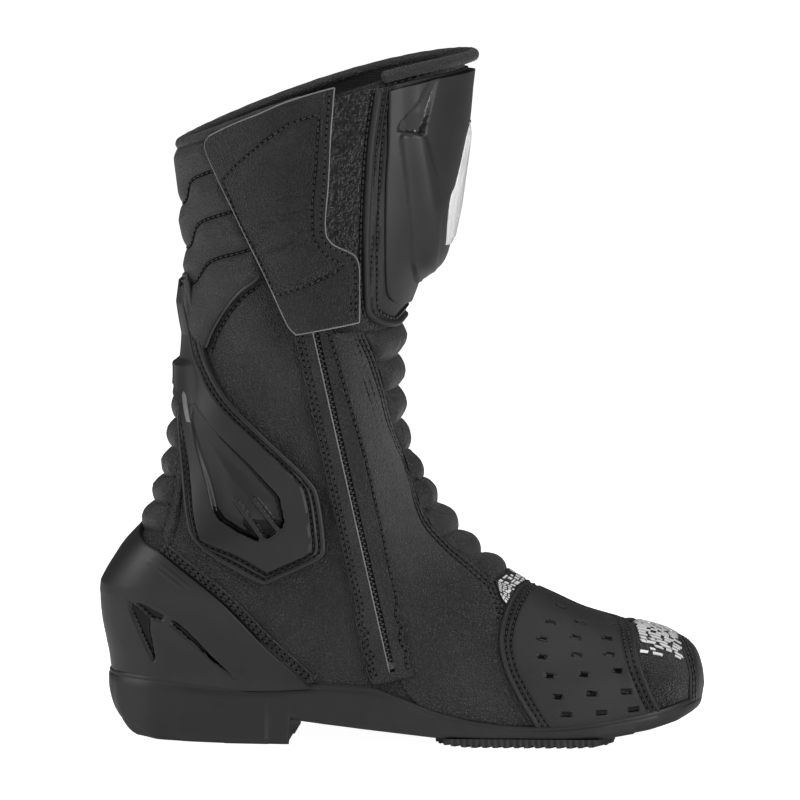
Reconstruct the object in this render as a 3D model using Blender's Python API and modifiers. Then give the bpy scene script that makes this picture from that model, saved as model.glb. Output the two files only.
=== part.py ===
"""Left riding boot: a tall motorcycle boot with a side zip, a closure flap and hard armour.

Frame: origin on the ground under the heel, +X to the toe, +Y to the outer (lateral) side, +Z up.
Lengths in this file are millimetres until a mesh is made, where MM turns them into metres.

The boot is drawn around one boot form: a loft of straight sections, each running from the front
line (shin, instep, toe) to the back line (calf, heel, sole). A place on it is (u, v): u counts
sections from the collar to the toe, and v is the angle round a section, 0 at the front, +90 degrees
on the inner side, 180 degrees at the back. "lift" is the distance out from the form along its
normal, so every layer of the boot is a band of lift.
"""

import math

import bmesh
import bpy
import numpy as np

MM = 0.001

# --- Driving dimensions ---------------------------------------------------------------------------

# Sections of the form: front x, z; back x, z; inner and outer half width; centre y; share of the
# section where it is widest; roundness of its front and back (2 is an ellipse, more is squarer).
SECTIONS = np.array(
    [
        (138.5, 342.0, -4.5, 304.0, 52.0, 52.0, 0.0, 0.52, 2.1, 2.2),  # just above the collar
        (133.0, 302.0, -3.0, 268.0, 52.0, 52.0, 0.0, 0.52, 2.1, 2.2),
        (121.0, 252.0, 0.0, 238.0, 50.0, 50.0, 0.0, 0.52, 2.2, 2.2),
        (107.0, 214.0, 0.0, 212.0, 47.0, 47.0, 0.0, 0.51, 2.3, 2.2),
        (103.5, 190.0, 0.0, 186.0, 45.0, 45.0, 0.0, 0.50, 2.3, 2.2),
        (104.5, 164.0, -6.0, 160.0, 43.5, 43.0, 0.0, 0.50, 2.3, 2.2),
        (108.5, 140.0, -9.5, 135.0, 42.5, 42.0, 0.0, 0.50, 2.2, 2.2),  # ankle
        (117.0, 120.0, -18.0, 111.0, 42.0, 42.0, 0.0, 0.50, 2.1, 2.3),
        (128.0, 108.5, -32.0, 92.0, 42.0, 42.0, 0.0, 0.50, 2.0, 2.4),
        (139.0, 97.5, -41.0, 70.0, 41.5, 41.5, 0.0, 0.48, 2.0, 2.3),  # instep to back of heel
        (150.0, 88.5, -39.0, 44.0, 40.0, 41.0, 0.0, 0.49, 2.0, 2.4),
        (160.0, 81.0, -31.0, 22.0, 40.0, 41.5, 0.0, 0.50, 2.0, 2.6),
        (170.0, 75.0, 8.0, 17.0, 41.0, 43.0, 0.0, 0.54, 2.0, 3.6),
        (182.0, 69.5, 60.0, 16.5, 43.5, 45.0, 0.0, 0.60, 2.0, 5.0),  # arch
        (196.0, 63.0, 112.0, 11.0, 46.0, 47.0, 1.0, 0.68, 2.1, 6.0),
        (211.0, 58.5, 155.0, 8.0, 47.0, 48.0, 1.0, 0.70, 2.1, 6.0),  # ball of the foot
        (226.0, 54.5, 193.0, 8.0, 45.0, 47.0, 0.0, 0.70, 2.2, 6.0),
        (238.0, 51.0, 222.0, 11.0, 38.0, 41.0, -2.0, 0.66, 2.3, 5.0),
        (247.0, 45.0, 240.0, 14.0, 28.0, 31.0, -5.0, 0.60, 2.3, 4.0),
        (252.0, 36.0, 250.0, 16.0, 16.0, 17.0, -8.0, 0.55, 2.3, 3.0),
        (254.5, 28.0, 254.0, 18.0, 0.6, 0.6, -9.0, 0.50, 2.0, 2.0),  # tip of the toe
    ]
)
LAST = len(SECTIONS) - 1

# The zip runs along one straight line on the inner side, so that its slider can follow a plain slide joint.
ZIP_TOP = np.array((43.5, -48.5, 311.0))
ZIP_BOTTOM = np.array((105.5, -45.5, 34.0))
ZIP_BLEND = 20.0  # how far from the zip the form is eased onto that line
FACING_INNER, FACING_OUTER = 2.4, 10.5  # edges of the leather strips beside the teeth, from the zip line

# Bands of lift for each layer, inner face and outer face.
LINER = (-6.4, -5.2)
STIFFENER = (-4.0, -2.9)
LEATHER = (-1.6, 0.0)
FACING = (0.4, 1.8)
TAPE = (-3.3, -2.8)
GUARD = (0.8, 2.8)
PATCH = (0.4, 0.9)
FOOTBED = (9.4, 12.4)
OVERLAY = (1.1, 3.4)
OVERLAY_TRIM = (3.8, 4.8)
COLLAR_RADIUS = 2.7
COLLAR_MIDDLE = -0.6  # lift of the middle of the collar binding
INSERT_LIFT = (1.3, 2.3)  # trim above the shin plate's own surface

# The flap's inner face arches over the zip, so that the slider can pass beneath.
FLAP_EDGE_LIFT, FLAP_ARCH, FLAP_ARCH_WIDTH, FLAP_THICK = 2.8, 5.8, 15.0, 2.4
FLAP_HINGE = (88.0, -51.0, 262.0)

RIB_HEIGHT = 3.4
QUILT_HEIGHT = 2.2
FRONT_RIBS, REAR_RIBS, QUILT_RIBS = 9, 5, 4

# Height of the top of the sole's wall, and of its underside, along x.
SOLE_X = (-45, -38, -12, 23, 40, 58, 75, 93, 108, 128, 148, 173, 193, 218, 238, 260)
SOLE_TOP = (34, 33.5, 32, 29, 29, 30, 31, 30, 25, 17.5, 13, 11, 12, 15.5, 18.5, 22)
BREAST_X = 53.0  # front face of the heel block
HEEL_PAD, PAD_INSET = (-26.0, 46.0), 7.0
TREAD_FROM, TREAD_TO = 126.0, 213.0
TREAD_TOP = 4.0
SOLE_WALL = 3.2
SEAT = 0.35  # gap left between pieces that touch

COLOURS = {
    "leather": ((0.035, 0.035, 0.037), 0.55, 0.0),
    "hard_shell": ((0.03, 0.03, 0.032), 0.4, 0.0),
    "gloss_trim": ((0.015, 0.015, 0.016), 0.15, 0.0),
    "white_trim": ((0.85, 0.85, 0.85), 0.35, 0.0),
    "rubber": ((0.03, 0.03, 0.03), 0.6, 0.0),
    "textile": ((0.02, 0.02, 0.022), 0.9, 0.0),
    "foam": ((0.2, 0.2, 0.2), 0.9, 0.0),
    "zip_plastic": ((0.02, 0.02, 0.02), 0.35, 0.0),
    "zip_metal": ((0.08, 0.08, 0.085), 0.3, 0.9),
    "board": ((0.35, 0.27, 0.18), 0.9, 0.0),
    "steel": ((0.5, 0.5, 0.52), 0.35, 1.0),
}


# --- The boot form --------------------------------------------------------------------------------


def section(u):
    """The section values at u, by a smooth curve through SECTIONS."""
    u = np.clip(np.asarray(u, float), 0, LAST)
    i = np.minimum(u.astype(int), LAST - 1)
    t = (u - i)[..., None]
    here, after = SECTIONS[i], SECTIONS[i + 1]
    before = np.where((i == 0)[..., None], 2 * here - after, SECTIONS[np.maximum(i - 1, 0)])
    beyond = np.where((i == LAST - 1)[..., None], 2 * after - here, SECTIONS[np.minimum(i + 2, LAST)])
    bend = 2 * before - 5 * here + 4 * after - beyond
    twist = 3 * here - before - 3 * after + beyond
    return 0.5 * (2 * here + (after - before) * t + bend * t**2 + twist * t**3)


def zip_x(z):
    """x of the zip line at height z."""
    return ZIP_TOP[0] + (ZIP_TOP[2] - z) / (ZIP_TOP[2] - ZIP_BOTTOM[2]) * (ZIP_BOTTOM[0] - ZIP_TOP[0])


def form(u, v):
    """Points of the form, in millimetres."""
    u, v = np.broadcast_arrays(np.asarray(u, float), np.asarray(v, float))
    row = section(u)
    share = (1 - np.cos(v)) / 2
    widest = row[..., 7]
    front = share < widest
    t = np.where(front, (widest - share) / widest, (share - widest) / (1 - widest))
    power = np.where(front, row[..., 8], row[..., 9])
    round_off = np.clip(1 - t**power, 0, 1) ** (1 / power)
    inner = np.sin(v) >= 0
    y = row[..., 6] + np.where(inner, -row[..., 4], row[..., 5]) * round_off
    x = row[..., 0] + share * (row[..., 2] - row[..., 0])
    z = row[..., 1] + share * (row[..., 3] - row[..., 1])
    down = (ZIP_TOP[2] - z) / (ZIP_TOP[2] - ZIP_BOTTOM[2])
    zip_y = ZIP_TOP[1] + down * (ZIP_BOTTOM[1] - ZIP_TOP[1])
    near = np.exp(-(((x - zip_x(z)) / ZIP_BLEND) ** 2)) * np.clip(4 * round_off, 0, 1)
    return np.stack([x, y + np.where(inner, (zip_y - y) * near, 0), z], -1)


def normal(u, v):
    """Unit normals of the form, pointing out of the boot."""
    du, dv = 2e-3, 2e-3
    along = form(np.minimum(u + du, LAST), v) - form(np.maximum(u - du, 0), v)
    around = form(u, v + dv) - form(u, v - dv)
    n = np.cross(around, along)
    return n / np.maximum(np.linalg.norm(n, axis=-1, keepdims=True), 1e-9)


def lifted(u, v, lift):
    return form(u, v) + np.asarray(lift, float)[..., None] * normal(u, v)


def place(points):
    """(u, v) on the inner side for side-view points (x, z), with v from 0 at the front line."""
    points = np.asarray(points, float).reshape(-1, 2)
    grid = np.linspace(0, LAST, 2001)
    rows = section(grid)
    front, run = rows[:, :2], rows[:, 2:4] - rows[:, :2]
    gap = points[:, None, :] - front[None]
    side = run[None, :, 0] * gap[..., 1] - run[None, :, 1] * gap[..., 0]
    share = (gap * run[None]).sum(-1) / (run**2).sum(-1)[None]
    crosses = (side[:, 1:] * side[:, :-1] <= 0) & (share[:, 1:] > -0.05) & (share[:, 1:] < 1.05)
    i = np.argmax(crosses, axis=1)
    pick = np.arange(len(points))
    a, b = side[pick, i], side[pick, i + 1]
    t = a / np.where(a == b, 1, a - b)
    u = grid[i] + t * (grid[1] - grid[0])
    s = np.clip(share[pick, i] + t * (share[pick, i + 1] - share[pick, i]), 0, 1)
    return np.stack([u, np.arccos(1 - 2 * s)], -1)


def back_u(z):
    """u where the back line is at height z."""
    grid = np.linspace(0, 11, 1101)
    return float(np.interp(-z, -section(grid)[:, 3], grid))


def front_u(x=None, z=None):
    """u where the front line is at height z, or at x on the foot."""
    grid = np.linspace(0, LAST, 2001)
    rows = section(grid)
    if z is not None:
        return float(np.interp(-z, -rows[:, 1], grid))
    foot = grid > 4
    return float(np.interp(x, rows[foot, 0], grid[foot]))


def sole_top(x):
    return np.interp(x, SOLE_X, SOLE_TOP)


# --- Grids of (u, v) ------------------------------------------------------------------------------


def resample(points, count):
    """count points evenly spaced along a polyline of any dimension."""
    points = np.asarray(points, float)
    steps = np.r_[0, np.cumsum(np.linalg.norm(np.diff(points, axis=0), axis=1))]
    at = np.linspace(0, steps[-1], count)
    return np.stack([np.interp(at, steps, points[:, k]) for k in range(points.shape[1])], -1)


def between(first, second, rows, columns):
    """A grid on the inner side, ruled in (u, v) between two side-view polylines."""
    a, b = place(resample(first, rows)), place(resample(second, rows))
    t = np.linspace(0, 1, columns)[None, :, None]
    return a[:, None] * (1 - t) + b[:, None] * t


def outer_side(grid):
    """The same grid on the outer side of the boot, turned so that its faces still point out."""
    return np.stack([grid[..., 0], -grid[..., 1]], -1)[:, ::-1]


def to_line(edge, u_from, u_to, rows, columns, back=False):
    """A grid ruled from a side-view edge to the front line, or to the back line, between u_from and u_to."""
    a = place(resample(edge, rows))
    fine = np.linspace(u_from, u_to, 60)
    line = section(fine)[:, 2:4] if back else section(fine)[:, :2]
    steps = np.r_[0, np.cumsum(np.linalg.norm(np.diff(line, axis=0), axis=1))]
    u = np.interp(np.linspace(0, steps[-1], rows), steps, fine)
    b = np.stack([u, np.full(rows, math.pi if back else 0.0)], -1)
    t = np.linspace(0, 1, columns)[None, :, None]
    return a[:, None] * (1 - t) + b[:, None] * t


# --- Making objects -------------------------------------------------------------------------------


def clear_scene():
    for obj in list(bpy.data.objects):
        bpy.data.objects.remove(obj, do_unlink=True)


def material(name):
    found = bpy.data.materials.get(name)
    if found:
        return found
    colour, roughness, metallic = COLOURS[name]
    made = bpy.data.materials.new(name)
    made.use_nodes = True
    shader = made.node_tree.nodes["Principled BSDF"]
    shader.inputs["Base Color"].default_value = (*colour, 1)
    shader.inputs["Roughness"].default_value = roughness
    shader.inputs["Metallic"].default_value = metallic
    return made


def add_mesh(name, points, faces, finish, collection, closed=False):
    """A named object from points in millimetres. Points that fall together are welded."""
    mesh = bpy.data.meshes.new(name)
    mesh.from_pydata([tuple(p) for p in np.asarray(points) * MM], [], faces)
    shape = bmesh.new()
    shape.from_mesh(mesh)
    bmesh.ops.remove_doubles(shape, verts=shape.verts, dist=2e-5)
    if closed:
        bmesh.ops.recalc_face_normals(shape, faces=shape.faces)
    shape.to_mesh(mesh)
    shape.free()
    mesh.shade_smooth()
    mesh.set_sharp_from_angle(angle=math.radians(40))
    mesh.materials.append(material(finish))
    obj = bpy.data.objects.new(name, mesh)
    collection.objects.link(obj)
    return obj


def grid_faces(rows, columns, flip=False):
    faces = []
    for i in range(rows - 1):
        for j in range(columns - 1):
            a = i * columns + j
            quad = (a, a + 1, a + columns + 1, a + columns)
            faces.append(quad[::-1] if flip else quad)
    return faces


def layer(name, grid, band, finish, collection):
    """A panel of the boot: a sheet over a (u, v) grid at its outer lift, thickened inwards."""
    rows, columns = grid.shape[:2]
    high = np.broadcast_to(np.asarray(band[1], float), (rows, columns))
    sheet = lifted(grid[..., 0], grid[..., 1], high)
    facing = np.cross(np.diff(sheet, axis=1)[:-1], np.diff(sheet, axis=0)[:, :-1])
    inward = np.sum(facing * normal(grid[..., 0], grid[..., 1])[:-1, :-1]) < 0
    obj = add_mesh(name, sheet.reshape(-1, 3), grid_faces(rows, columns, flip=inward), finish, collection)
    modify(obj, "SOLIDIFY", thickness=float(np.min(high - band[0])) * MM, offset=-1.0)
    return obj


def modify(obj, kind, **settings):
    modifier = obj.modifiers.new(kind.title(), kind)
    for key, value in settings.items():
        setattr(modifier, key, value)
    return modifier


def box(name, size, centre, axes, finish, collection, bevel=0.0):
    """A box of size (along, across, out) at centre, in the frame given by three unit axes."""
    bpy.ops.mesh.primitive_cube_add(size=1)
    obj = bpy.context.object
    obj.name = name
    turn = np.array(axes).T
    points = np.array([v.co[:] for v in obj.data.vertices]) * np.array(size)
    for vertex, point in zip(obj.data.vertices, (points @ turn.T + centre) * MM):
        vertex.co = point
    obj.data.materials.append(material(finish))
    if bevel:
        modify(obj, "BEVEL", width=bevel * MM, segments=2, limit_method="ANGLE")
    move_to(obj, collection)
    return obj


def rod(name, radius, length, centre, axis, finish, collection, vertices=16):
    """A cylinder along axis."""
    bpy.ops.mesh.primitive_cylinder_add(vertices=vertices, radius=radius * MM, depth=length * MM)
    obj = bpy.context.object
    obj.name = name
    axis = np.asarray(axis, float) / np.linalg.norm(axis)
    spare = np.cross(axis, (0.3, 0.5, 0.8))
    first = spare / np.linalg.norm(spare)
    turn = np.stack([first, np.cross(axis, first), axis], 1)
    for vertex in obj.data.vertices:
        vertex.co = turn @ np.array(vertex.co[:]) + np.asarray(centre) * MM
    obj.data.materials.append(material(finish))
    move_to(obj, collection)
    return obj


def move_to(obj, collection):
    for old in list(obj.users_collection):
        old.objects.unlink(obj)
    collection.objects.link(obj)


def boolean(obj, tool, operation, cutters):
    """Joins or cuts with tool, which stays in the scene as a hidden helper."""
    modify(obj, "BOOLEAN", operation=operation, object=tool, solver="EXACT")
    move_to(tool, cutters)
    tool.hide_render = True
    tool.display_type = "WIRE"


# --- Outlines on the inner side, as (x, z) --------------------------------------------------------

BELLOWS_EDGE = [(89.5, 206), (94, 194), (98.5, 176), (101.5, 162), (106, 146), (111.5, 128), (118.5, 112)]
BELLOWS_EDGE += [(130, 98.5), (142, 88), (152, 79)]
QUILT_FRONT = [(14, 297), (21, 281), (29, 263), (36, 245), (38.5, 232)]
REAR_BELLOWS_EDGE = [(-2, 171), (-4, 150), (-7, 125), (-11, 112)]
REAR_SEAM = [(0.4, 173), (-1.0, 150), (-4.0, 125), (-8.0, 110), (-9.2, 102)]
HEEL_CUP_EDGE = [(-9.5, 97), (3, 86), (20.5, 70), (39, 51), (53, 39), (60, 35)]
GUARD_FRONT = [(9, 229), (9, 216), (10.5, 200), (15.5, 184), (25.5, 170), (39, 157), (53, 143.5)]
GUARD_FRONT += [(64, 133.5), (70.5, 121), (72.5, 106), (71, 97), (62, 89), (46, 82)]
GUARD_BACK = [(4.5, 229), (4.5, 214), (4.3, 200), (3.5, 186), (1.0, 172), (-0.5, 161), (0.5, 146)]
GUARD_BACK += [(1.5, 131), (3, 116), (5, 105), (12, 97), (24, 90), (36, 83)]
GUARD_INSERT_FRONT = [(12, 168), (28, 151.5), (45, 134.5), (51.5, 125), (52.5, 111)]
GUARD_INSERT_BACK = [(10, 158), (12, 140), (15.5, 124), (21, 114.5), (38, 104)]
FLAP_BACK = [(12, 298), (13, 291), (27, 262), (40, 236), (52, 213), (58, 207)]
FLAP_FRONT = [(75, 317), (74.5, 300), (74, 281), (73, 260), (76, 250), (86, 243), (86, 228), (85.5, 212)]
SHIN_BASE_EDGE = [(95.5, 322), (94.5, 300), (93, 281), (91.5, 250), (91.5, 222), (94, 213), (99, 208.5)]
SHIN_PLATE_EDGE = [(102, 322), (101.5, 300), (100.5, 281), (100, 250), (100, 226)]
SHIN_PLATE_EDGE += [(102.5, 220.5), (105.2, 218.8)]
VAMP_REAR = [(163, 73.5), (159.5, 66), (157.5, 54), (159.5, 41), (165.5, 28.5), (172, 17.5), (176, 12)]
VAMP_FRONT = [(221, 55), (224.5, 50), (227, 38.5), (230.5, 27), (233.5, 18.8)]
SHIN_INSERT_EDGE = [(128, 304), (123.5, 285), (117.5, 266), (115, 252), (114.5, 246)]
SHIN_BULGE_Z = (221, 226, 231, 236, 246, 252, 268, 281, 301, 325)
SHIN_BULGE = (0, 1, 4.4, 6.5, 6.7, 6.3, 5.1, 3.8, 2.4, 1.5)  # how far the shin plate swells out, by height
BULGE_START_Z, BULGE_START_X = (227, 239, 248, 278, 305), (112.5, 110.5, 110.5, 109.4, 107.2)
BULGE_RUN = 7.0  # the swelling is full this far in front of where it starts

# Outline of the sole seen from above: inner and outer edge at x.
PLAN_X = (-42.3, -41, -38.5, -36, -30, -20, -10, 0, 20, 40, 60, 75, 90)
PLAN_INNER = (2, 9, 14.5, 19, 24.5, 30.5, 34, 36.8, 40.2, 42, 43.4, 44.6, 46.8)
PLAN_OUTER = (2, 9, 14.5, 19, 25, 31.5, 35.2, 38, 41.6, 44, 45.6, 46.4, 47.2)
PLAN_X += (110, 145, 185, 205, 215, 225, 235, 242, 248, 252, 254.5, 256.5)
PLAN_INNER += (48, 48, 47.4, 46.3, 44.5, 42.3, 39, 35.2, 30, 24.5, 19, 11)
PLAN_OUTER += (49, 51, 50, 48, 45.2, 41, 34.6, 28, 19, 10, 2.5, -6)
FLOOR_X = (-45, -20, 60, 110, 150, 195, 225, 245, 260)
FLOOR_Z = (16.5, 15.5, 15.5, 10.3, 7.4, 7.4, 9.8, 13, 17)
UNDER_X = (-45, -40, -33, BREAST_X - 0.1, BREAST_X + 0.1, 73, 108, TREAD_FROM - 1, TREAD_TO + 1)
UNDER_X += (233, 248, 257)
UNDER_Z = (11, 4.5, 0, 0, 12.5, 10, 6.5, TREAD_TOP + SEAT, TREAD_TOP + SEAT, 9, 14.5, 20)


def across_sole(x, inset, z):
    """Two points of the sole's outline at x and height z, drawn in by inset: inner side, then outer side."""
    inner, outer = np.interp(x, PLAN_X, PLAN_INNER), np.interp(x, PLAN_X, PLAN_OUTER)
    centre, half = (outer - inner) / 2, (outer + inner) / 2
    half = max(half - inset, 0.25 * half)
    return (x, centre - half, z), (x, centre + half, z)


def floor_z(x):
    return float(np.interp(x, FLOOR_X, FLOOR_Z))


def sole_section(x, solid):
    """One section of the cup sole: underside, wall, rim, then down to the floor unless solid."""
    low, top, base = float(np.interp(x, UNDER_X, UNDER_Z)), float(sole_top(x)), floor_z(x)
    if solid:
        low, base = min(low + 3, top - 6), top - 0.6
    wall = [(2.5, low), (0.5, low + 0.2 * (top - low)), (0.0, low + 0.55 * (top - low)), (0.5, top)]
    wall += [(0.5 + SOLE_WALL, top), (0.9 + SOLE_WALL, base)]
    pairs = [across_sole(x, inset, z) for inset, z in wall]
    return [p[0] for p in pairs] + [p[1] for p in reversed(pairs)]


def loft(name, loops, finish, collection):
    """A closed solid through equal closed loops, capped at both ends."""
    count = len(loops[0])
    faces = []
    for i in range(len(loops) - 1):
        for j in range(count):
            k = (j + 1) % count
            faces.append((i * count + j, i * count + k, (i + 1) * count + k, (i + 1) * count + j))
    faces.append(tuple(range(count)))
    faces.append(tuple(range((len(loops) - 1) * count, len(loops) * count)))
    return add_mesh(name, [p for loop in loops for p in loop], faces, finish, collection, closed=True)


def slab(name, inset, low, high, xs, finish, collection):
    """A flat layer of the sole between the heights low(x) and high(x), drawn in by inset."""
    loops = []
    for x in xs:
        a, b = across_sole(x, inset, low(x))
        c, d = across_sole(x, inset, high(x))
        loops.append([a, b, d, c])
    return loft(name, loops, finish, collection)


def form_sole(x):
    """Height of the underside of the form at x."""
    return float(np.interp(x, SECTIONS[12:19, 2], SECTIONS[12:19, 3]))


def tread_bottom(x):
    return float(np.interp(x, (TREAD_FROM, 146, 194, TREAD_TO), (2.2, 0, 0, 1.2)))


def build_sole(parts, cutters):
    """The cup sole with its heel pad, forefoot tread, shank, insole board and footbed."""
    xs = [-42, -39.5, -36, -28, -16, 0, 20, BREAST_X - 0.4, BREAST_X + 0.4, 64, 78, 92, 109]
    xs += [TREAD_FROM - 2, 145, 165, 185, 205, 216, 226, 235, 242, 248, 252.5, 256.3]
    loops = [sole_section(x, k in (0, len(xs) - 1)) for k, x in enumerate(xs)]
    outsole = loft("outsole", loops, "rubber", parts)
    pad_xs = np.linspace(*HEEL_PAD, 6)
    pocket = slab("heel_pocket", PAD_INSET, lambda x: -2.0, lambda x: 2.2, pad_xs, "rubber", parts)
    boolean(outsole, pocket, "DIFFERENCE", cutters)
    pad_xs = np.linspace(HEEL_PAD[0] + SEAT, HEEL_PAD[1] - SEAT, 6)
    slab("heel_tread", PAD_INSET + SEAT, lambda x: 0.0, lambda x: 2.2 - SEAT, pad_xs, "rubber", parts)
    tread_xs = (TREAD_FROM, 136, 146, 158, 170, 182, 194, 203, TREAD_TO)
    slab("forefoot_tread", 2.9, tread_bottom, lambda x: TREAD_TOP, tread_xs, "rubber", parts)
    board_xs = np.linspace(-33, 245, 14)
    board = (lambda x: floor_z(x) + 1.9), (lambda x: floor_z(x) + 3.3)
    slab("insole_board", SOLE_WALL + 3, *board, board_xs, "board", parts)
    shank = []
    for x in np.linspace(-18, 118, 9):
        z = floor_z(x) + SEAT
        shank.append([(x, -9, z), (x, 9, z), (x, 9, z + 1.2), (x, -9, z + 1.2)])
    loft("shank", shank, "steel", parts)
    foot = (lambda x: form_sole(x) + FOOTBED[0]), (lambda x: form_sole(x) + FOOTBED[1])
    slab("footbed", 21, *foot, np.linspace(-6, 226, 13), "foam", parts)


# --- Edges shared by neighbouring panels ----------------------------------------------------------


def back_line(z_from, z_to, count=6):
    """Side-view points down the back line."""
    return [tuple(section(back_u(z))[2:4]) for z in np.linspace(z_from, z_to, count)]


def shifted(edge, dx, dz=0.0):
    return [(x + dx, z + dz) for x, z in edge]


def sole_line(x_from, x_to, count=8, above=0.7):
    """Side-view points just above the rim of the sole."""
    return [(x, float(sole_top(x)) + above) for x in np.linspace(x_from, x_to, count)]


def zip_side(z_from, z_to, offset, count=2):
    """Side-view points alongside the zip line, offset forward of it."""
    run = np.array((ZIP_BOTTOM[0] - ZIP_TOP[0], ZIP_BOTTOM[2] - ZIP_TOP[2]))
    run = run / np.linalg.norm(run)
    return [(zip_x(z) - run[1] * offset, z + run[0] * offset) for z in np.linspace(z_from, z_to, count)]


def under_collar(grid):
    """Keeps a panel below the collar binding."""
    v = grid[..., 1]
    limit = 0.2 + 0.13 * np.cos(v) ** 2
    return np.stack([np.maximum(grid[..., 0], limit), v], -1)


def wrap(grid):
    """Joins a grid whose last column is on the front or back line to its mirror image."""
    mirror = np.stack([grid[..., 0], -grid[..., 1]], -1)[:, ::-1]
    if grid[0, -1, 1] > 3:
        mirror = mirror + np.array((0, 2 * math.pi))
    return np.concatenate([grid, mirror[:, 1:]], 1)


def foot_edge(points, front_x):
    """A (u, v) edge from the front line at front_x down through side-view points to the sole."""
    return np.concatenate([[(front_u(x=front_x), 0.0)], place(points)])


def band_over_foot(rear, ahead, rows, columns):
    """A wrapped grid over the foot between two (u, v) edges, down to the rim of the sole."""
    a, b = resample_by_angle(rear, columns), resample_by_angle(ahead, columns)
    t = np.linspace(0, 1, rows)[:, None, None]
    grid = (a[None] * (1 - t) + b[None] * t)[:, ::-1]
    return wrap(above_sole(grid))


def resample_by_angle(edge, count):
    """count points along a (u, v) edge that runs away from the front line, evenly spaced in v."""
    v = np.linspace(0, edge[-1, 1], count)
    return np.stack([np.interp(v, edge[:, 1], edge[:, 0]), v], -1)


def above_sole(grid, gap=1.6):
    """Moves points that are below the rim of the sole up onto it, along their own line of constant u."""
    out = grid.copy()
    for index in np.ndindex(grid.shape[:2]):
        u, v = grid[index]
        fine = np.linspace(0, math.pi, 181)
        points = form(u, fine)
        clear = points[:, 2] > sole_top(points[:, 0]) + gap
        if np.all(clear) or not clear[0]:
            continue
        last = int(np.argmin(clear)) - 1
        out[index] = u, min(v, fine[last])
    return out


def heel_wrap(rim, top_z, low_z, columns, rows, above=1.2):
    """A wrapped grid round the heel, from a rim that runs back and up to the back line, down to the sole."""
    a = np.concatenate([place(rim), [(back_u(top_z), math.pi)]])
    low = [(x, float(sole_top(x)) + above) for x in np.linspace(rim[0][0] + 1.5, -30, 9)]
    b = np.concatenate([place(low), [(back_u(low_z), math.pi)]])
    a, b = resample(a, columns), resample(b, columns)
    t = np.linspace(0, 1, rows)[:, None, None]
    return wrap(a[None] * (1 - t) + b[None] * t)


def off_seam(grid):
    """Leaves the gap of the centre seam at the back of the boot."""
    return np.stack([grid[..., 0], np.minimum(grid[..., 1], math.pi - 0.025)], -1)


# --- Leather, textile and their ribs --------------------------------------------------------------


def ribs(rows, columns, count, height):
    """Lift of a ribbed panel: rounded ribs down its rows, easing to flat at its two side edges."""
    down = np.abs(np.sin(np.linspace(0, count * math.pi, rows))) ** 0.7
    across = np.clip(8 * np.linspace(0, 1, columns), 0, 1) * np.clip(8 * np.linspace(1, 0, columns), 0, 1)
    return height * down[:, None] * across[None]


def build_lower_upper(parts):
    """Leather of the foot: quarters, vamp and toe cap."""
    rim = shifted(HEEL_CUP_EDGE[:-1], -2, -2) + [(59.5, 34.0), (62, 32.6)]
    heel = back_line(229, 175, 12) + REAR_SEAM + rim
    low = heel + sole_line(66, 97, 3, 1.3)
    inner = between(low, [(40, 230.4), (61.5, 209.5)] + zip_side(208, 36, -4.0, 12), 24, 9)
    layer("inner_rear_quarter", off_seam(inner), LEATHER, "leather", parts)
    seam = [(150, 78)] + shifted(VAMP_REAR[1:-1], -0.2) + [(174, 12.2)]
    front = shifted(BELLOWS_EDGE[:-1], -0.9, -1.1) + seam
    inner = between(zip_side(203, 34, 4.0, 6) + sole_line(118, 172, 6, 1.3), front, 18, 5)
    layer("inner_front_quarter", inner, LEATHER, "leather", parts)
    outer = between(heel + sole_line(66, 172, 9, 1.4), [(40, 230.4), (87.5, 208)] + front, 28, 11)
    layer("outer_quarter", outer_side(off_seam(outer)), LEATHER, "leather", parts)
    edge = [(-10, 109), (-10.4, 104.5), (-11, 100.5)]
    achilles = to_line(edge, back_u(109), back_u(106.8), 3, 9, back=True)
    layer("achilles_panel", wrap(achilles), LEATHER, "leather", parts)
    rim = shifted(HEEL_CUP_EDGE[:-1], -3.4, -3.4) + [(55, 34)]
    layer("heel_leather", heel_wrap(rim[::-1], 101.0, 36.0, 13, 5), LEATHER, "leather", parts)
    rear, ahead = foot_edge(shifted(VAMP_REAR, 3.0), 170.5), foot_edge(shifted(VAMP_FRONT, -3.0), 214.5)
    layer("vamp", band_over_foot(rear, ahead, 7, 8), LEATHER, "leather", parts)
    rear, tip = foot_edge(shifted(VAMP_FRONT, -1.5), 216), np.array([(19.82, 0.0), (19.82, 1.75)])
    layer("toe_cap", band_over_foot(rear, tip, 9, 8), LEATHER, "leather", parts)


def build_shaft_leather(parts):
    """Leather and textile of the shaft: ribbed calf, side panels, shin base, gusset and padding."""
    quilt = to_line(QUILT_FRONT, back_u(300), back_u(231), 2 * QUILT_RIBS + 1, 9, back=True)
    quilt = wrap(under_collar(quilt))
    bumps = ribs(*quilt.shape[:2], QUILT_RIBS, QUILT_HEIGHT)
    layer("calf_quilt", quilt, (LEATHER[0], bumps), "leather", parts)
    behind = shifted([(13, 300)] + QUILT_FRONT[1:], 1.4)
    inner = under_collar(between(behind, zip_side(318, 211.5, -4.0, 6), 9, 5))
    layer("inner_upper_panel", inner, LEATHER, "leather", parts)
    ahead = shifted(SHIN_BASE_EDGE[:-1], -1.2)
    outer = under_collar(between(behind, ahead, 10, 8))
    layer("outer_upper_panel", outer_side(outer), LEATHER, "leather", parts)
    gusset = under_collar(between(zip_side(322, 211, 4.6, 8), ahead, 9, 5))
    layer("stretch_gusset", gusset, LEATHER, "textile", parts)
    base = wrap(under_collar(to_line(SHIN_BASE_EDGE, 0.3, front_u(z=210.5), 10, 8)))
    layer("shin_base", base, LEATHER, "leather", parts)
    padding = wrap(to_line([(18, 282), (24, 262), (26, 240)], back_u(280), back_u(236), 5, 7, back=True))
    layer("calf_padding", padding, STIFFENER, "foam", parts)


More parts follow.
